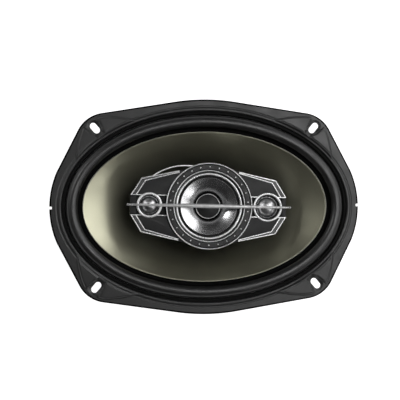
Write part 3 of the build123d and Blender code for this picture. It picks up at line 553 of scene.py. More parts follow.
def sintered(name):
    """Ferrite: dark grey, gritty, with ground patches and small pits."""
    coat = Finish(name, (0.045, 0.045, 0.048), 0.62, Specular_IOR_Level=0.5)
    coat.tint(coat.noise(3.5, 6), (0.3, (0.02, 0.02, 0.022)), (0.75, (0.085, 0.085, 0.09)))
    coat.rough(coat.noise(8, 4), 0.45, 0.78)
    coat.relief(coat.spread(coat.cells(1.6), 0.0, 0.35), 0.12, 0.6)
    coat.relief(coat.noise(0.5, 5), 0.06, 0.7)
    return coat.material


def drawn_out(name, colour, roughness, texture, tint, wear, depth, strength, **sockets):
    """Fibres, wires or brush marks: one stretched noise gives both the tint and the relief."""
    return textured(name, colour, roughness, [texture, *tint], wear,
                    [texture, depth, strength], **sockets).material


def pale_floor():
    """Plain white paper that glows a little, so that the speaker's shadow stays faint."""
    coat = Finish("studio_paper", (0.88,) * 3, 0.9, Specular_IOR_Level=0.1,
                  Emission_Color=(1, 1, 1, 1), Emission_Strength=0.96)
    coat.tint(coat.noise(40), (0.3, (0.86,) * 3), (0.7, (0.9,) * 3))
    coat.relief(coat.noise(0.8, 4), 0.02, 0.3)
    return coat.material


# ---------------------------------------------------------------- driving shapes, from the frame
cone_a, cone_b = half("woofer_cone")[:2]
cone_rim_z, cone_flare = high("woofer_cone")[2], 0.15
neck_radius, neck_z = high("voice_coil_former")[0] + 0.9, low("woofer_cone")[2] + 0.8
flange_top = high("basket")[2]
motor_top = high("top_plate")[2]
pod_front, pod_split = high("pod_housing")[2], low("pod_housing")[2]
channel_floor = low("arch_trim")[2]


STEEL = painted_steel("basket_black", (0.0135,) * 3, 0.38)
# Painted shade: near-black, dull paint on the flange's rolled rim, standing in for the rim in
# shade.
RIM_SHADE = moulded("basket_black.rim", (0.003,) * 3, 0.85, 0.4, 0.02, specular=0.08)
RUBBER = moulded("surround_rubber", (0.010,) * 3, 0.36, 0.5, 0.002, specular=1.0)
# Painted shade: a black, dull copy of the rubber for the roll's inner lip, where it lies in shade.
LIP_SHADE = moulded("surround_rubber.lip", (0.003,) * 3, 0.8, 0.5, 0.01, specular=0.1)
GASKET = moulded("gasket_black", (0.004,) * 3, 0.72, 0.6, 0.05, specular=0.2)
PEARL = pearl_cone("cone_metallic", cone_a, cone_b)
CLOTH = woven("spider_cloth", (0.20, 0.125, 0.05), 0.42)
FORMER = polished_metal("former_aluminium", (0.72, 0.73, 0.74), 0.3)
COPPER = textured(
    "copper_wire", (0.72, 0.33, 0.14), 0.28, [(1.2, 4), (0.3, 0.55), (0.7, 1.1)], [(2,), 0.2, 0.38],
    [(0.4,), 0.01, 0.6], metallic=1.0, Coat_Weight=0.5).material
BRASS = polished_metal("brass_fittings", (0.68, 0.50, 0.22), 0.3, scratch=0.5)
FELT = drawn_out(
    "felt_black", (0.018,) * 3, 0.95, (0.35, 6, (1, 1, 2.5)), [(0.35, 0.5), (0.7, 1.8)],
    [(1.5,), 0.85, 1.0], 0.2, 0.9, Sheen_Weight=0.4, Sheen_Roughness=0.6)
ZINC = turned_steel("zinc_steel", (0.60, 0.60, 0.58), 0.34)
FERRITE = sintered("ferrite")
BOARD = drawn_out(
    "panel_board", (0.16, 0.075, 0.028), 0.48, (0.9, 5, (0.25, 1, 1.6)),
    [(0.3, (0.10, 0.045, 0.016)), (0.55, (0.17, 0.08, 0.03)), (0.8, (0.26, 0.14, 0.06))],
    [(3,), 0.4, 0.6], 0.03, 0.6, Coat_Weight=0.15)
TIN = polished_metal("terminal_tin", (0.70, 0.70, 0.68), 0.32, scratch=0.6)
BRAID = drawn_out(
    "tinsel_braid", (0.62, 0.55, 0.46), 0.36, (0.18, 3, (1, 1, 0.5)), [(0.35, 0.4), (0.65, 1.1)],
    [(0.9,), 0.28, 0.5], 0.05, 0.9, metallic=1.0)
PLASTIC = moulded("pod_plastic", (0.013, 0.013, 0.0134), 0.44, 0.22, 0.01, specular=0.42)
# Painted shade: a darker copy of the pod plastic for the recessed channel floor and tweeter wells.
WELL_SHADE = moulded("pod_plastic.well", (0.005,) * 3, 0.5, 0.3, 0.01, specular=0.3)
SCREW = polished_metal("black_screw", (0.06, 0.06, 0.065), 0.35, scratch=0.4)
CHROME = polished_metal("satin_chrome", (0.86,) * 3, 0.30, scratch=0.8, depth=0.0008)
BAR = polished_metal("satin_chrome.bar", (0.42,) * 3, 0.36, scratch=0.7, depth=0.006)
brush_marks = (0.55, 4, (1.6, 0.5, 1))
BAND = drawn_out(
    "satin_chrome.striped", (0.11,) * 3, 0.4, brush_marks, [(0.35, 0.45), (0.65, 1.3)],
    [brush_marks, 0.3, 0.5], 0.05, 0.8, metallic=0.85)
BEZEL = speckled("bezel_dark")
MID_CLOTH = woven("mid_cloth", (0.012,) * 3, 0.3)
MIRROR = spun_dish("mid_metal", (0.92, 0.92, 0.93), 0.24, 10.6, 13.6)
CAP = moulded("mid_cap_dark", (0.045, 0.045, 0.046), 0.42, 0.3, 0.02)
NICKEL = polished_metal("magnet_nickel", (0.62, 0.60, 0.56), 0.2)
SLEEVE = moulded("capacitor_sleeve", (0.02, 0.05, 0.14), 0.38, 0.4, 0.008)
DOME = polished_metal("dome_metal", (0.86, 0.86, 0.87), 0.31, scratch=3.0, depth=0.0003)
YOKE = painted_steel("black_yoke", (0.02, 0.02, 0.021), 0.45)


# ---------------------------------------------------------------- basket
def arc_through(first, second, third, steps):
    """Points along the arc through three flat points."""
    a, b, c = (complex(*point) for point in (first, second, third))
    ratio = (c - a) / (b - a)
    centre = a + (b - a) * (ratio - abs(ratio) ** 2) / (2j * ratio.imag)
    start, end = cmath.phase(a - centre), cmath.phase(c - centre)
    sweep = (end - start + math.pi) % TURN - math.pi
    return arc(start, start + sweep, steps + 1) * abs(a - centre) + (centre.real, centre.imag)


half_length, half_width = half("basket")[:2]
crown = (25.0, half_width - 2.1)
corner = (91.0, half_width - 12.4)
end = (half_length - 5.5, 26.8)
corner_radius = 24.0
slot_place, slot_turn, slot_half, slot_radius = (84.0, 60.0), math.radians(50), 2.0, 2.5
step_a, step_b = half("gasket_ring")[:2] + 0.8
ledge_a, ledge_b = cone_a + 8.8, cone_b + 9.3
ledge_z = low("gasket_ring")[2] - 0.6
wall_bottom, shoulder_z = -9.0, -38.0
sheet = 1.0


def flange_outline():
    """The flange's outer edge, anticlockwise from the right end."""
    crown_arc = arc_through(crown, (0, half_width), (-crown[0], crown[1]), 24)
    end_arc = arc_through((end[0], -end[1]), (half_length, 0), end, 24)
    right = [(*p, 0) for p in end_arc] + [(*corner, corner_radius)] + [(*p, 0) for p in crown_arc]
    left = [(-x, -y, r) for x, y, r in right]
    top_left = [(-corner[0], corner[1], corner_radius)]
    bottom_right = [(corner[0], -corner[1], corner_radius)]
    sparse = rounded(right + top_left + left + bottom_right, steps=24)
    steps = np.linspace(0, 1, 40, endpoint=False)[:, None]
    return np.concatenate([a + (b - a) * steps for a, b in zip(sparse, np.roll(sparse, -1, 0))])


def flange_relief(x, y, rim):
    """Height of the pressed shapes on the flange's front, by place and distance from the rim."""
    across, up = np.abs(x) - slot_place[0], np.abs(y) - slot_place[1]
    out = across * math.cos(slot_turn) + up * math.sin(slot_turn)
    side = up * math.cos(slot_turn) - across * math.sin(slot_turn)
    place_turn = math.atan2(slot_place[1], slot_place[0])
    turn = np.degrees(np.arctan2(np.abs(y), np.abs(x)) - place_turn)
    # A raised web on each side of the slot, whose crease leaves the rim and swings in to the step.
    web_height, web_reach, crease_place = 1.5, 22, 2.4
    swing = turn / np.where(turn > 0, 13.0, 15.0)
    bend = crease_place + 6.0 * swing**2
    web = smooth_step(rim, bend, bend + 1.5) * smooth_step(web_reach - np.abs(turn), 0, 5)
    # The slot lies in a channel that opens outwards.
    channel_half, channel_start = 4.3 + 0.26 * (out + slot_half), -8.2
    channel = smooth_step(channel_half - np.abs(side), -0.5, 0.6)
    channel *= smooth_step(out, channel_start, channel_start + 1.6)
    # A shallow countersink follows the slot's edge.
    sink_depth, sink_reach = 0.5, slot_radius + 1.7
    from_slot = np.hypot(side, np.maximum(np.abs(out) - slot_half, 0))
    sink = smooth_step(sink_reach - from_slot, 0, 0.7)
    return web_height * web * (1 - channel) - sink_depth * sink


def basket_flange():
    """Flange, step, ledge and upright wall, in one pressing."""
    columns, top_rows, rim_shade_rows, bead_height, groove_depth = 720, 36, 6, 0.35, 0.25
    circle, outline, top = ring(columns), flange_outline(), flange_top
    outline_turn = np.arctan2(outline[:, 1], outline[:, 0])
    order = np.argsort(outline_turn)
    ray = unit(circle * (step_a, step_b))
    reach = np.interp(np.arctan2(ray[:, 1], ray[:, 0]), outline_turn[order],
                      np.linalg.norm(outline, axis=1)[order], period=TURN)
    # The rolled outer edge, up from the back, drawn for a flange 1.2 thick.
    edge, drawn_top = [(0.45, 0), (0.1, 0.1), (0, 0.3), (0.05, 0.6), (0.3, 0.9)], 1.2
    edge = [(distance, z * top / drawn_top) for distance, z in edge] + [(0.75, top - 0.08)]
    rows = [level(ray * (reach - distance)[:, None], z) for distance, z in edge]
    rim_edge = ray * (reach - 1.3)[:, None]
    step_edge = circle * (step_a - sheet + 0.9, step_b - sheet + 0.9)
    for share in np.linspace(0, 1, top_rows):
        place = rim_edge + (step_edge - rim_edge) * share
        rim = reach - np.linalg.norm(place, axis=1)
        inner = np.linalg.norm(place - step_edge, axis=1)
        relief = flange_relief(place[:, 0], place[:, 1], rim) * smooth_step(inner, 0.6, 2.2)
        # A bead round the step, and a groove outside it.
        relief += bead_height * smooth_step(1.5 - inner, 0, 0.5)
        relief -= groove_depth * smooth_step(0.9 - np.abs(inner - 2.4), 0, 0.6)
        rows.append(level(place, top + relief))
    # Down into the step, over the ledge, down its wall and back up outside. Each is a distance
    # out from the oval a by b, and a height.
    under = ledge_z - 1.2
    for a, b, places in (
        (step_a - sheet, step_b - sheet,
         [(0.55, top + 0.28), (0.18, top + 0.05), (0, top - 0.35), (0, ledge_z + 0.5),
          (-0.4, ledge_z)]),
        (ledge_a, ledge_b,
         [(0.6, ledge_z), (0.1, ledge_z - 0.2), (0, ledge_z - 0.7), (0, wall_bottom),
          (sheet, wall_bottom), (sheet, under - 0.6), (sheet + 0.6, under)]),
        (step_a, step_b, [(-0.5, under), (0, under + 0.5), (0, -0.4), (0.4, 0)]),
    ):
        rows += [level(circle * (a + out, b + out), z) for out, z in places]
    # The outer rows, the rolled rim, carry the painted shade.
    marks = [1] * rim_shade_rows * columns + [0] * (len(rows) - rim_shade_rows) * columns
    piece = make_object("basket_flange", joined(rows, marks=marks), STEEL, RIM_SHADE, crease=CUT_CREASE)
    holes, notches = Shape(), Shape()
    for x_side in (1, -1):
        for y_side in (1, -1):
            turn = slot_turn if x_side * y_side > 0 else math.pi - slot_turn
            place = np.array(slot_place) * (x_side, y_side)
            outline = [
                place + slot_half * arc(end_turn, end_turn, 1)
                + slot_radius * arc(end_turn - math.pi / 2, end_turn + math.pi / 2, 13)
                for end_turn in (turn, turn + math.pi)
            ]
            slab(np.concatenate(outline), -3, 5, shape=holes)
        notch = [(x_side * half_length + x, y) for x, y in ((-2, -1), (2, -1), (2, 1), (-2, 1))]
        slab(rounded(notch, 0.4), -3, 5, shape=notches)
    cut(piece, holes, notches)
    finish_piece(piece, "frame", "basket")


def basket_bowl():
    """Bowl with eight legs and windows, shoulder, cup and vents."""
    columns, bowl_rows, legs, thick = 384, 18, 8, 0.75
    leg_turn = TURN / legs
    circle = ring(columns)
    shoulder, cup, floor = high("spider")[0] + 4.0, 39.8, motor_top
    turn = np.arctan2(circle[:, 1], circle[:, 0])
    from_leg = turn % leg_turn - leg_turn / 2
    # A rib pressed into each leg, by how much it widens and sinks the bowl.
    rib = 1 - smooth_step(np.abs(from_leg), math.radians(2.2), math.radians(3.6))
    rib_out, rib_down, cup_hole = 0.9, 0.8, 17.6
    slope = np.linspace(0, 1, bowl_rows)
    bulge = 1.6 * np.sin(math.pi * slope)
    press = 1.5 * smooth_step(slope, 0.06, 0.2) * smooth_step(1 - slope, 0.04, 0.16)
    wide, narrow, height = (
        start + (finish - start) * slope + bulge * share
        for start, finish, share in (
            (ledge_a + sheet, shoulder + 1, 0.5), (ledge_b + sheet, shoulder + 1, 0.5),
            (wall_bottom, shoulder_z + 1, -0.7))
    )
    stations = list(zip(wide, narrow, height, press))
    inside = [(a - thick, b - thick, z + thick, p) for a, b, z, p in reversed(stations)]
    tail = [
        (shoulder, shoulder_z + 0.25), (shoulder - 1.2, shoulder_z), (cup + 1.2, shoulder_z),
        (cup + 0.3, shoulder_z - 0.3), (cup, shoulder_z - 1.2), (cup, floor + 1.2),
        (cup - 0.4, floor + 0.3), (cup - 1.3, floor), (cup_hole, floor), (cup_hole, floor + sheet),
        (cup - 1.9, floor + sheet), (cup - sheet, floor + sheet + 0.8),
        (cup - sheet, shoulder_z - 0.3), (cup - 0.6, shoulder_z + 0.8),
        (cup + 0.4, shoulder_z + sheet), (shoulder - 1.6, shoulder_z + sheet),
        (shoulder - 0.5, shoulder_z + sheet + 0.3),
    ]
    rows = []
    for a, b, z, pressed in stations + [(radius, radius, z, 0) for radius, z in tail] + inside:
        outwards = 1 + pressed * rib * rib_out / a
        rows.append(level(circle * (a, b) * outwards[:, None], z - pressed * rib * rib_down))
    piece = make_object("basket_bowl", joined(rows), STEEL, crease=CUT_CREASE)
    windows, vents = Shape(), Shape()
    window_half, window_corner, steps = math.radians(15.5), 3.0, 12
    outer_a, outer_b, inner_radius = 96.0, 60.5, 48.5
    for window_turn in np.arange(legs) * leg_turn:
        side = arc(window_turn - window_half, window_turn + window_half, steps + 1)
        outer, inner = side * (outer_a, outer_b), side[::-1] * inner_radius
        corners = level(np.concatenate([outer, inner]), 0)
        corners[[0, steps, steps + 1, -1], 2] = window_corner
        slab(rounded(corners, steps=5), shoulder_z - 3, wall_bottom - 1.4, shape=windows)
    vent = slab(rounded([(-5, -3), (5, -3), (5, 3), (-5, 3)], 2, 5), cup - 4, cup + 3)
    for cos, sin in ring(6):
        # The hole's own axes: sideways, upright and outwards.
        placed = vent.points[0] @ [(-sin, cos, 0), (0, 0, 1), (cos, sin, 0)]
        vents.add(placed + (0, 0, (floor + shoulder_z) / 2), vent.faces)
    cut(piece, windows, vents)
    bevel(piece, 0.28)
    finish_piece(piece, "frame", "basket")


def terminal_tab():
    """The folded tab of the basket that carries the terminal board."""
    root_y, back_y, tab_half = -44.5, high("terminal_panel")[1], 9.6
    over, foot = shoulder_z + sheet, shoulder_z - 12
    profile = rounded(
        [(root_y, shoulder_z, 0), (root_y, over, 0), (back_y, over, 1.6), (back_y, foot, 0.3),
         (back_y + sheet, foot, 0.3), (back_y + sheet, shoulder_z, 0.6)], steps=5)
    rows = [np.insert(profile, 0, x, axis=1) for x in (-tab_half, tab_half)]
    piece = make_object("basket_tab", joined(rows, ends=True), STEEL, crease=CUT_CREASE)
    bevel(piece, 0.2)
    finish_piece(piece, "frame", "basket")


# ---------------------------------------------------------------- woofer
def gasket():
    """Pressed paperboard ring with two fine ribs, over the surround's outer lip."""
    start, finish = 12.4, half("gasket_ring")[0] - cone_a
    bottom, top = low("gasket_ring")[2], high("gasket_ring")[2]
    profile = rounded(
        [(start, bottom, 0.1), (finish, bottom, 0.1), (finish, top), (finish - 0.8, top, 0.1),
         (finish - 1.0, top - 0.25, 0.1), (finish - 1.3, top - 0.25, 0.1), (finish - 1.5, top, 0.1),
         (start + 0.9, top), (start, top - 0.9)], 0.3, 3)
    add_piece("gasket", round_oval(cone_a, cone_b, profile), "frame", GASKET, "gasket_ring")


def half_roll(start, finish, foot, rise, thick, drop, steps, power=1.0):
    """Upper line of a half-roll from start to finish, and the lower one back, drop below it."""
    turns, centre, reach = arc(math.pi, 0, steps), (start + finish) / 2, (finish - start) / 2
    turns[:, 1] = np.abs(turns[:, 1]) ** power
    over = turns * (reach, rise) + (centre, foot)
    under = turns[::-1] * (reach - thick, rise) + (centre, foot - drop)
    return over, under


def surround():
    """Half-roll of rubber, with its lips under the cone's rim and under the gasket."""
    start, finish, thick = 2.6, 12.2, 0.6
    lip_end, inner_low = half("surround")[0] - cone_a, low("surround")[2]
    lip_top = low("gasket_ring")[2]
    lip_bottom, rise = lip_top - thick, high("surround")[2] - lip_top
    over, under = half_roll(start, finish, lip_top, rise, thick, thick, 33, 0.9)
    profile = [
        (-1.0, inner_low + thick), (start - 1.2, inner_low + thick),
        (start - 0.5, inner_low + thick + 0.15), *over, (finish + 0.5, lip_top - 0.02),
        (lip_end, lip_top - 0.02), (lip_end, lip_bottom), *under, (start - 0.2, inner_low + 0.2),
        (start - 1, inner_low), (-1.0, inner_low),
    ]
    piece = make_object("surround_roll", round_oval(cone_a, cone_b, profile), RUBBER, LIP_SHADE)
    # The flat inner lip next to the cone gets the painted shade.
    lip = np.array((cone_a, cone_b)) + start + 0.6
    for face in piece.data.polygons:
        if np.linalg.norm(np.array(face.center.xy) / MM / lip) < 1:
            face.material_index = 1
    # A point's share runs from 0 on the fixed edge of the roll to 1 on the cone's.
    flat = points_of(piece)[:, :2]
    near = np.linalg.norm(flat / (cone_a + start, cone_b + start), axis=1) - 1
    far = 1 - np.linalg.norm(flat / (cone_a + finish, cone_b + finish), axis=1)
    finish_bending(piece, "surround", np.clip(far / np.maximum(near + far, 1e-6), 0, 1))


def woofer_cone():
    """Flared oval shell with a rolled bead round its flat rim."""
    columns, steps, rim, thick = 360, 64, 0.7, 0.8
    sleeve = neck_radius - thick
    share = np.linspace(0, 1, steps)
    height = neck_z + (cone_rim_z - neck_z) * share * (1 + cone_flare * (1 - share))
    wide, narrow = [neck_radius + (edge - rim - neck_radius) * share for edge in (cone_a, cone_b)]
    bead = ((0.45, 0), (0.2, -0.06), (0.05, -0.2), (0, -0.4), (0.05, -0.6), (0.4, -thick))
    stations = [
        (sleeve, sleeve, height[0]), *zip(wide, narrow, height),
        *[(cone_a - inwards, cone_b - inwards, cone_rim_z + rise) for inwards, rise in bead],
        *zip(wide[::-1], narrow[::-1], height[::-1] - thick), (sleeve, sleeve, height[0] - thick),
    ]
    shape = joined([level(ring(columns) * (a, b), z) for a, b, z in stations])
    add_piece("cone_shell", shape, "woofer", PEARL, "woofer_cone")


def spider_disc():
    """Corrugated cloth disc from the former out to the basket's shoulder."""
    inner, outer, base = 15.4, high("spider")[0], middle("spider")[2]
    wave_start, wave_end, waves, swing, thick = inner + 2.0, 38.3, 5, 0.8, 0.5
    wavy = np.linspace(wave_start, wave_end, waves * 14 + 1)
    radii = np.array([inner, *wavy, outer - 1, outer])
    inside = np.clip((radii - wave_start) / (wave_end - wave_start), 0, 1)
    height = base + swing * np.sin(TURN * waves * inside)
    profile = [*zip(radii, height + thick / 2), *zip(radii[::-1], height[::-1] - thick / 2)]
    piece = make_object("spider_disc", turned(profile, steps=192), CLOTH)
    reach = np.hypot(*points_of(piece)[:, :2].T)
    finish_bending(piece, "spider", (wave_end - reach) / (wave_end - wave_start))


def winding():
    """The voice coil's wire, layer on layer, with every turn raised."""
    inner, outer = high("voice_coil_former")[0], high("voice_coil_winding")[0]
    bottom, top = low("voice_coil_winding")[2], high("voice_coil_winding")[2]
    turns, bulge = 26, 0.12
    profile = [(inner, top), (inner, bottom)]
    for index in range(turns):
        for share in (0.05, 0.3, 0.5, 0.7, 0.95):
            depth = bulge * (1 - math.sin(math.pi * share))
            profile.append((outer - depth, bottom + (index + share) * (top - bottom) / turns))
    add_piece("coil_wire", turned(profile), "woofer", COPPER, "voice_coil_winding", crease=60)


def smooth_route(points, reach, step=0.8):
    """Points along straight runs in space, joined by bends that start reach before each corner."""
    points = [np.array(p, float) for p in points]
    line = [points[0]]
    for before, here, after in zip(points, points[1:], points[2:]):
        first, last = (
            here + unit(away) * min(reach, 0.48 * np.linalg.norm(away))
            for away in (before - here, after - here)
        )
        for t in np.linspace(0, 1, 9):
            line.append(first * (1 - t) ** 2 + here * 2 * t * (1 - t) + last * t * t)
    line = np.array(line + [points[-1]])
    lengths = np.concatenate([[0], np.cumsum(np.linalg.norm(np.diff(line, axis=0), axis=1))])
    even = np.linspace(0, lengths[-1], max(8, int(lengths[-1] / step)))
    return np.column_stack([np.interp(even, lengths, line[:, axis]) for axis in range(3)])


def twisted(route, diameter, shape, strands=7, lay=6.0):
    """A lead of strands laid round one another along a route."""
    along = np.gradient(route, axis=0)
    across = unit(np.cross(unit(along), (1.0, 0.12, 0.05)))
    other = np.cross(unit(along), across)
    travelled = np.cumsum(np.linalg.norm(along, axis=1))
    thick = diameter * 0.21
    offset = diameter / 2 - thick
    for index in range(strands):
        turn = (TURN * (index / strands + travelled / lay))[:, None]
        tube(route + offset * (np.cos(turn) * across + np.sin(turn) * other), thick, shape)
    tube(route, offset, shape)


def leads():
    """Braided leads: from the terminals to the cone, and on from the cone up to the pod."""
    diameter, eyelet_radius, lug_thick, bowl_side = 1.6, 1.1, 0.8, 7.5
    lug_front = low("terminal_panel")[1] - lug_thick
    clear = lug_front - diameter / 2
    _, eyelet_y, eyelet_z = middle("lead_eyelets")
    eyelet_x = high("lead_eyelets")[0] - eyelet_radius
    tag_z = low("tinsel_leads")[2]
    hole_y, hole_z = high("pod_feed_leads")[1] - diameter / 2, high("pod_feed_leads")[2]
    tinsel, feed = Shape(), Shape()
    for side, tag in ((1, "terminal_positive"), (-1, "terminal_negative")):
        tag_x, x = middle(tag)[0], side * eyelet_x
        route = [
            (tag_x, clear, tag_z), (tag_x, clear, tag_z + 6.4),
            (side * bowl_side, lug_front + 9, tag_z + 8.4), (x, eyelet_y, eyelet_z - 5.5),
            (x, eyelet_y, eyelet_z - 1.5),
        ]
        twisted(smooth_route(route, 4.0), diameter, tinsel)
        route = [(x, eyelet_y, eyelet_z + 1.5), (x, eyelet_y, eyelet_z + 5),
                 (x, hole_y, eyelet_z + 8), (x, hole_y, hole_z)]
        twisted(smooth_route(route, 3.0), diameter, feed)
    # A lead's fixed end is at one place along Y and its moving end at the other.
    for name, shape, node, fixed_y, moving_y in (
        ("tinsel_braid", tinsel, "tinsel_leads", lug_front + 1, eyelet_y - 1),
        ("feed_braid", feed, "pod_feed_leads", hole_y - 1, eyelet_y + 1),
    ):
        piece = make_object(name, shape, BRAID)
        share = (points_of(piece)[:, 1] - fixed_y) / (moving_y - fixed_y)
        finish_bending(piece, node, share)


# ---------------------------------------------------------------- motor
def motor():
    """Top plate, ferrite ring and back plate, each with broken edges."""
    gap = high("voice_coil_winding")[0] + 0.7
    magnet_hole = 22.0
    for name, node, inner, edge, coat in (
        ("front_plate", "top_plate", gap, 0.7, ZINC),
        ("ferrite_ring", "magnet", magnet_hole, 1.3, FERRITE),
    ):
        outer, bottom, top = half(node)[0], low(node)[2], high(node)[2]
        profile = rounded([(inner, bottom), (outer, bottom), (outer, top), (inner, top)], edge, 4)
        add_piece(name, turned(profile, steps=192), "frame", coat, node)
    outer, bottom, top = half("back_plate")[0], low("back_plate")[2], low("magnet")[2]
    pole_radius, pole_top, bore = 14.2, high("back_plate")[2], high("pod_post")[0]
    head, sunk, shaft = high("pod_bolt")[0] + 0.4, low("pod_bolt")[2] + 2.9, 2.6
    groove, dished = bottom + 0.3, bottom + 0.7
    profile = rounded(
        [(bore, sunk + 1, 0.1), (bore, pole_top, 0.4), (pole_radius, pole_top, 0.9),
         (pole_radius, top, 0.5), (outer, top, 0.9), (outer, bottom, 1.1), (outer - 5, bottom, 0.1),
         (outer - 5.3, groove, 0.1), (outer - 5.9, groove, 0.1), (outer - 6.2, bottom, 0.1),
         (14, bottom, 0.3), (13, dished, 0.3), (9, dished, 0.3), (8, bottom, 0.3),
         (head, bottom, 0.3), (head, sunk, 0.2), (shaft, sunk, 0.1), (shaft, sunk + 1, 0.1)],
        steps=3)
    add_piece("rear_plate", turned(profile, steps=192), "frame", ZINC, "back_plate")


# ---------------------------------------------------------------- pod
pod_line = middle("tweeter_right_ring") - middle("tweeter_left_ring")
clocking = math.atan2(pod_line[1], pod_line[0])
tweeter_distance = math.hypot(pod_line[0], pod_line[1]) / 2
pod_radius = half("mid_bezel_trims")[1]
tip, wing, join = (58.4, 7.1), (50.3, 20.1), (18.6, 27.0)
pod_wall, trim_width = 1.6, 0.75
# Each tweeter's side, the outer and inner radius of its ring, and the radius of its dome.
RINGS = {
    "left": (-1, half("tweeter_left_ring")[0], 7.6, 5.2),
    "right": (1, half("tweeter_right_ring")[0], 9.3, 6.3),
}


def clocked(shape):
    """Turns a shape drawn along X onto the pod's own axis."""
    cos, sin = math.cos(clocking), math.sin(clocking)
    shape.points = [points @ [(cos, sin, 0), (-sin, cos, 0), (0, 0, 1)] for points in shape.points]
    return shape


def mirrored(side, up, outline):
    """An outline drawn clockwise at the upper right, in another quarter and anticlockwise."""
    outline = np.array(outline) * (side, up)
    return outline[::-1] if side * up > 0 else outline


def pod_outline():
    """Edge of the pod: a round body between two six-sided wings."""
    meet = math.asin(join[1] / pod_radius)
    body = pod_radius * arc(meet, math.pi - meet, 25)
    upper = np.array([tip, wing, join, *body] + [(-x, y) for x, y in (join, wing, tip)])
    return np.concatenate([upper, -upper])


def pod_body():
    """Housing: hollow, with a channel along each wing and a plate at each end of it."""
    shape = clocked(slab(pod_outline(), pod_split + 0.1, pod_front, edge=0.6, foot=0.25))
    piece = make_object("pod_shell", shape, PLASTIC, crease=CUT_CREASE)
    above, below, body_hole, fit, plates = pod_front + 2, pod_split - 1, 25.5, 0.08, Shape()
    channels, seats, wells, hollows = Shape(), Shape(), Shape(), Shape()
    for side, ring_outer, ring_inner, _ in RINGS.values():
        far, near = tip[0] + 2, pod_radius - 1
        box = [(near, -tip[1]), (near, tip[1]), (far, tip[1]), (far, -tip[1])]
        slab(mirrored(side, 1, box), channel_floor, above, shape=channels)
        centre = (side * tweeter_distance, 0)
        slab(centre + (ring_outer + fit) * ring(96), channel_floor, above, shape=seats)
        slab(centre + (ring_inner + 0.5) * ring(96), below, above, shape=wells)
        # The hollow inside this wing, up to the round body.
        half_hollow = [(24, 24.4), (49.2, 18.6), (tip[0] - 1.8, 6.8)]
        hollow = half_hollow + [(x, -y) for x, y in reversed(half_hollow)]
        slab(mirrored(side, 1, hollow), below, channel_floor - pod_wall, shape=hollows)
        near, far = tweeter_distance + ring_outer + 0.3, tip[0] - 0.35
        for up in (1, -1):
            corners = [(near, 0.6), (near, tip[1] - 0.5), (far, tip[1] - 0.5), (far, 0.6)]
            outline = rounded(mirrored(side, up, corners), 0.4, 3)
            slab(outline, channel_floor - 0.3, channel_floor + 0.7, edge=0.25, shape=plates)
    for cutter in (channels, seats, wells, hollows, slab(body_hole * ring(96), below, above)):
        cut(piece, clocked(cutter))
    bevel(piece, 0.18, 50)
    finish_piece(piece, "frame", "pod_housing")
    # The channel floor's upward faces get the painted shade.
    piece.data.materials.append(WELL_SHADE)
    for face in piece.data.polygons:
        if face.normal.z > 0.9 and abs(face.center.z / MM - channel_floor) < 0.1:
            face.material_index = 1
    add_piece("channel_plates", clocked(plates), "frame", PLASTIC, "pod_housing")


def pod_rear():
    """Back cover: wing covers, the cup behind the midrange and its stalk, with four gussets."""
    back, floor, cup, bottom = low("pod_back_cover")[2], low("mid_yoke")[2], 25.0, 6.4
    stalk, bore, rim = 8.0, high("pod_post")[0], pod_radius - 0.4
    under = floor - pod_wall
    shape = slab(inset(pod_outline(), 0.15), bottom, pod_split, edge=0.2, foot=0.9)
    profile = rounded(
        [(0, floor - 0.6, 0), (bore, floor - 0.6, 0), (bore, back, 0.2), (stalk, back, 1.0),
         (stalk, under, 2.2), (cup, under, 2.4), (rim, bottom - 0.4, 1.2),
         (rim, pod_split - 0.1, 0.1), (rim - 1.6, pod_split - 0.1, 0.1), (rim - 2, bottom, 0.5),
         (cup - 1.6, floor, 1.0), (0, floor, 0)], steps=5)
    turned(profile, shape=shape)
    web = [(stalk - 0.5, under + 0.3), (stalk + 11, under + 0.3), (stalk + 10.4, floor - 2.4),
           (stalk - 0.5, back + 3)]
    for along in ring(4):
        across = along[::-1] * (-1, 1)
        rows = [[(*(r * along + s * across), z) for r, z in web] for s in (-0.7, 0.7)]
        joined(rows, shape, ends=True)
    add_piece("pod_cover", clocked(shape), "frame", PLASTIC, "pod_back_cover")


def edge_line(at_join, at_wing, at_tip):
    """Start, corner and end of a line at given distances inside a wing's long and end edges."""
    long_edge, end_edge = unit(np.subtract(wing, join)), unit(np.subtract(tip, wing))
    into_long, into_end = (edge[::-1] * (1, -1) for edge in (long_edge, end_edge))
    p, q = wing + at_wing * into_long, wing + at_tip * into_end
    share = (q - p) @ into_end / (long_edge @ into_end)
    edge_y = tip[1] + trim_width / 2
    start = join + at_join * into_long + 4 * long_edge
    return start, p + long_edge * share, q + end_edge * (edge_y - q[1]) / end_edge[1]


def wing_trims():
    """Bright lines round each wing panel, and the striped band between two of them."""
    for name, (side, ring_outer, _, _) in RINGS.items():
        node, bright, band = f"wing_trim_{name}", Shape(), Shape()
        outer, inner = edge_line(0.45, 0.45, 0.45), edge_line(1.3, 2.5, 3.5)
        y, hidden = tip[1] + trim_width / 2, math.sqrt(ring_outer**2 - (tip[1] + 0.9) ** 2) - 0.5
        lines = [outer, inner, [(pod_radius - 0.8, y), (tweeter_distance - hidden, y)],
                 [(tweeter_distance + hidden, y), (tip[0] - 0.3, y)]]
        for up in (1, -1):
            for line in lines:
                line = np.array(line) * (side, up)
                strip(line, trim_width, pod_front - 0.3, high(node)[2], 0.22, bright)
            ribbon = mirrored(side, up, [*outer, *inner[::-1]])
            slab(ribbon, pod_front - 0.3, pod_front + 0.15, 0.05, shape=band)
        add_piece(f"wing_lines_{name}", clocked(bright), "frame", CHROME, node)
        add_piece(f"wing_band_{name}", clocked(band), "frame", BAND, node)


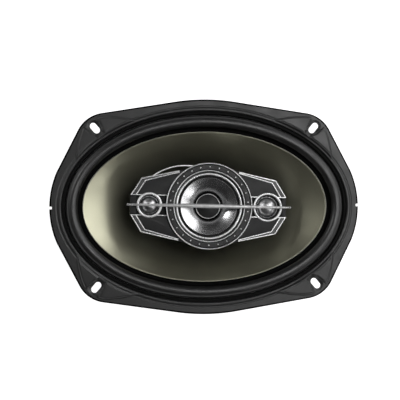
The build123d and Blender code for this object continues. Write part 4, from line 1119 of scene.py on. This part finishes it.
def arch():
    """The extra bright arch at the upper left, from the wing's edge into the bezel."""
    curve = arc_through((-41.5, 21.9), (-26.5, 28.7), (-12.5, 29.6), 28)
    shape = strip(curve, 1.0, low("arch_trim")[2], high("arch_trim")[2] + 0.1, 0.3)
    add_piece("arch_line", clocked(shape), "frame", CHROME, "arch_trim")


def bezel():
    """Speckled band with two bright rings and its studs."""
    inner, outer, face = pod_radius - 5.3, pod_radius - 0.8, high("mid_bezel")[2]
    sunk, top, stud_top = pod_front - 0.2, high("mid_bezel_trims")[2], high("bezel_studs")[2]
    profile = rounded(
        [(inner, sunk, 0), (outer, sunk, 0), (outer, face - 0.3, 0.2), (outer - 0.7, face, 0.2),
         (inner + 0.7, face, 0.2), (inner, face - 0.3, 0.2)], steps=3)
    add_piece("bezel_band", turned(profile, steps=192), "frame", BEZEL, "mid_bezel")
    rings, studs = Shape(), Shape()
    for near, far in ((outer + 0.05, pod_radius), (inner - 0.8, inner - 0.05)):
        profile = rounded([(near, sunk, 0), (far, sunk, 0), (far, top), (near, top)], 0.45, 6)
        turned(profile, steps=224, shape=rings)
    add_piece("bezel_rings", rings, "frame", CHROME, "mid_bezel_trims")
    count, circle, reach = 26, (inner + outer) / 2, 0.6
    profile = [(0, face - 0.2), (reach, face - 0.2), (reach, face + 0.18), (reach * 0.42, stud_top),
               (0, stud_top)]
    for place in circle * arc(TURN / 2 / count, TURN + TURN / 2 / count, count + 1)[:-1]:
        turned(profile, place, 8, studs)
    add_piece("bezel_stud_set", clocked(studs), "frame", CHROME, "bezel_studs", crease=20)


def bar():
    """Slim tapered bar with ball tips, on two pegs."""
    bottom, top = pod_front + 4.0, high("cross_bar")[2]
    centre_z, middle_half, tip_half, ball, peg_x = (bottom + top) / 2, 1.6, 0.7, 1.0, 56.8
    reach = half("cross_bar")[0] - ball
    rows = []
    for x in np.linspace(-reach, reach, 41):
        out = abs(x) / reach
        wide = middle_half + (tip_half - middle_half) * out
        drop = (top - centre_z) * (0.35 + 0.65 * (1 - out))
        foot, shoulder, crest = centre_z - drop, centre_z + drop * 0.35, centre_z + drop
        section = rounded([(-wide, foot), (wide, foot), (wide, shoulder), (wide * 0.5, crest),
                           (-wide * 0.5, crest), (-wide, shoulder)], 0.18, 3)
        rows.append(np.insert(section, 0, x, axis=1))
    shape = joined(rows, ends=True)
    tip_ball = arc(-math.pi / 2, math.pi / 2, 17) * (ball, 0.8 * ball) + (0, centre_z)
    low_z = channel_floor - 0.2
    peg = rounded([(0, low_z, 0), (1.3, low_z, 0), (1.3, channel_floor + 0.5, 0.2),
                   (0.8, channel_floor + 0.8, 0.2), (0.8, centre_z, 0), (0, centre_z, 0)], steps=3)
    for side in (1, -1):
        turned(tip_ball, (side * reach, 0), 24, shape)
        turned(peg, (side * peg_x, 0), 24, shape)
    add_piece("bar", clocked(shape), "frame", BAR, "cross_bar", crease=30)


# ---------------------------------------------------------------- midrange
def cap_profile(radius, height, base, thick, steps=20):
    """Closed half-section of a thin spherical cap."""
    sphere = (radius**2 + height**2) / (2 * height)
    out = radius * np.linspace(0, 1, steps)
    over = [(x, base + math.sqrt(sphere**2 - x**2) - (sphere - height)) for x in out]
    under = [(x * (1 - thick / radius), z - thick) for x, z in reversed(over)]
    return over + under


def midrange():
    """Bright lip ring, cloth roll, polished cone and its cap."""
    lip_outer, lip_inner = half("mid_lip_ring")[0], 23.1
    bottom, top = low("mid_lip_ring")[2], high("mid_lip_ring")[2]
    profile = rounded([(lip_inner, bottom, 0.1), (lip_outer, bottom, 0.1), (lip_outer, top),
                       (lip_inner, top)], 0.7, 6)
    add_piece("lip_ring", turned(profile, steps=192), "frame", CHROME, "mid_lip_ring")

    # The cone's face: how far it has dropped at some distances in from its rim.
    rim, rim_z = half("mid_cone")[0], high("mid_cone")[2]
    depth, across, thick = rim_z - low("mid_cone")[2] - 0.5, rim - 8.8, 0.5
    flare = ((0, 0), (2, 0.62), (4, 1.32), (6, 2.1), (7.6, 2.85), (8.8, 3.6), (9.8, 4.5),
             (10.7, 5.5), (11.5, 6.45), (across, depth))
    inwards, drops = np.array(flare).T
    even = np.linspace(0, across, 40)
    steps = np.interp(even, inwards, np.gradient(drops, inwards))
    drop = np.concatenate([[0], np.cumsum((steps[1:] + steps[:-1]) / 2 * np.diff(even))])
    face = list(zip(rim - even, rim_z - drop * depth / drop[-1]))[::-1]
    edge = [(rim + 0.15, rim_z - 0.1), (rim + 0.1, rim_z - thick)]
    back = [(x + thick * 0.55, z - thick * 0.75) for x, z in face[:-1]]
    shape = turned(face + edge + back[::-1], steps=224)
    add_piece("mid_dish", shape, "midrange", MIRROR, "mid_cone")

    radius, base, bead = half("mid_dust_cap")[0], low("mid_dust_cap")[2], 0.34
    shape = turned(cap_profile(radius, high("mid_dust_cap")[2] - base, base, 0.5))
    add_piece("mid_cap", shape, "midrange", CAP, "mid_dust_cap")
    profile = bead * ring(12) + (radius + 0.28, base + 0.42)
    add_piece("mid_cap_ring", turned(profile), "midrange", CHROME, "mid_dust_cap")

    start, finish, flange_z = rim + 0.2, lip_inner - 0.1, low("mid_surround")[2]
    over, under = half_roll(start, finish, flange_z + 0.55, 0.75, 0.25, 0.3, 17)
    piece = make_object("mid_roll", turned([*over, *under], steps=160), MID_CLOTH)
    radii = np.hypot(*points_of(piece)[:, :2].T)
    finish_bending(piece, "mid_surround", (finish - radii) / (finish - start))


# ---------------------------------------------------------------- tweeters
def tweeters():
    """Each tweeter's bright ring, a well in painted shade and a metal dome, which hides its flat
    roll.
    """
    rise_share, roll = 0.62, 1.5
    for name, (_, outer, inner, dome) in RINGS.items():
        node, dome_node = f"tweeter_{name}_ring", f"tweeter_{name}_dome"
        centre, bottom, top = middle(node)[:2], low(node)[2], high(node)[2]
        profile = rounded([(inner, bottom, 0.1), (outer, bottom, 0.1), (outer, top, 0.7),
                           (inner + 0.2, top, 0.6), (inner, top - 1.2, 0.3)], steps=6)
        add_piece(f"ring_{name}", turned(profile, centre), "frame", CHROME, node)
        rise, edge = rise_share * dome, dome + roll
        base, clear, seat = high(dome_node)[2] - rise, edge + 0.25, bottom + 1.0
        profile = rounded([(clear, base - 0.1), (inner + 0.4, base - 0.1), (inner + 0.4, seat),
                           (inner - 0.3, seat), (clear, base + 0.35)], 0.12, 3)
        # The well is painted darker as shade.
        add_piece(f"well_{name}", turned(profile, centre, 96), "frame", WELL_SHADE, node)
        profile = cap_profile(edge - 0.15, rise, base, 0.35, 30)
        profile[30:30] = [(edge, base - 0.02), (edge, base - 0.3)]
        add_piece(f"dome_{name}", turned(profile, centre, 112), f"tweeter_{name}", DOME, dome_node)


# ---------------------------------------------------------------- CAD nodes that stay
KEPT = {
    ZINC: ["basket_rivets", "pod_post", "pod_bolt", "mid_top_plate"],
    FORMER: ["voice_coil_former"],
    BRASS: ["lead_eyelets", "terminal_rivets"],
    TIN: ["terminal_positive", "terminal_negative"],
    BOARD: ["terminal_panel"],
    FELT: ["dust_seal"],
    SCREW: ["pod_screws"],
    SLEEVE: ["crossover_capacitors"],
    YOKE: ["mid_frame", "mid_yoke", "tweeter_left_yoke", "tweeter_right_yoke"],
    COPPER: ["mid_voice_coil", "tweeter_left_coil", "tweeter_right_coil"],
    NICKEL: ["mid_magnet", "tweeter_left_magnet", "tweeter_right_magnet",
             "tweeter_left_top_plate", "tweeter_right_top_plate"],
}


def paint_kept_nodes():
    """Gives every CAD node that stays its material."""
    for coat, names in KEPT.items():
        for name in names:
            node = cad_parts[name]
            for slot in node.material_slots:
                slot.material = coat


# ---------------------------------------------------------------- studio
def studio():
    """Plain pale floor, a dim ceiling over a pale horizon, and six soft boxes."""
    scene = bpy.context.scene
    scene.view_settings.view_transform = "Standard"
    floor_z, floor_half = cad_box[0][2] / MM - 0.05, 4000.0
    corners = floor_half * np.array([(-1, -1), (1, -1), (1, 1), (-1, 1)])
    make_object("floor", slab(corners, floor_z - 5, floor_z), pale_floor())

    world = bpy.data.worlds.new("studio")
    scene.world = world
    world.use_nodes = True
    tree = world.node_tree
    background = tree.nodes["Background"]
    place = tree.nodes.new("ShaderNodeTexCoord")
    parts = tree.nodes.new("ShaderNodeSeparateXYZ")
    ramp = tree.nodes.new("ShaderNodeValToRGB")
    tree.links.new(place.outputs["Generated"], parts.inputs[0])
    tree.links.new(parts.outputs["Z"], ramp.inputs["Fac"])
    tree.links.new(ramp.outputs["Color"], background.inputs["Color"])
    horizon, ceiling = ramp.color_ramp.elements
    horizon.position, horizon.color = 0.07, (0.95, 0.95, 0.95, 1)
    ceiling.position, ceiling.color = 0.42, (0.01, 0.01, 0.01, 1)
    background.inputs["Strength"].default_value = 1.0

    # Each soft box: degrees right and up from straight in front, width, height and power.
    distance = 1.6
    boxes = {
        "key_right": (28, 5, 0.84, 1.5, 5.8),
        "key_low": (37, -20, 0.35, 0.35, 1.0),
        "key_high": (32, 26, 0.35, 0.35, 1.0),
        "front": (10, 6, 0.3, 0.35, 1.5),
        "side_left": (-39, 20, 0.4, 0.5, 2.6),
        "side_right": (50, 34, 0.5, 0.6, 1.2),
    }
    for name, (right, up, width, height, power) in boxes.items():
        lamp = bpy.data.lights.new(name, "AREA")
        lamp.shape, lamp.size, lamp.size_y, lamp.energy = "RECTANGLE", width, height, power
        holder = bpy.data.objects.new(name, lamp)
        scene.collection.objects.link(holder)
        across, over = math.radians(right), math.radians(up)
        direction = Vector((math.sin(across), math.sin(over), math.cos(across) * math.cos(over)))
        direction.normalize()
        holder.location = direction * distance
        holder.rotation_mode = "QUATERNION"
        holder.rotation_quaternion = direction.to_track_quat("Z", "Y")


def camera():
    """Nearly straight in front, a little to the left, as a product photographer stands."""
    lens = bpy.data.cameras.new("camera")
    lens.sensor_width, lens.lens = 36.0, 77.1
    holder = bpy.data.objects.new("camera", lens)
    bpy.context.scene.collection.objects.link(holder)
    holder.location = Vector((-70.8, -8.4, 650.7)) * MM
    holder.rotation_euler = [math.radians(turn) for turn in (1.24, -5.78, -0.65)]
    lens.clip_start, lens.clip_end = 0.01, 100
    bpy.context.scene.camera = holder


for build in (
    basket_flange, basket_bowl, terminal_tab, gasket, surround, woofer_cone, spider_disc, winding,
    leads, motor, pod_body, pod_rear, wing_trims, arch, bezel, bar, midrange, tweeters,
    paint_kept_nodes, studio, camera,
):
    build()
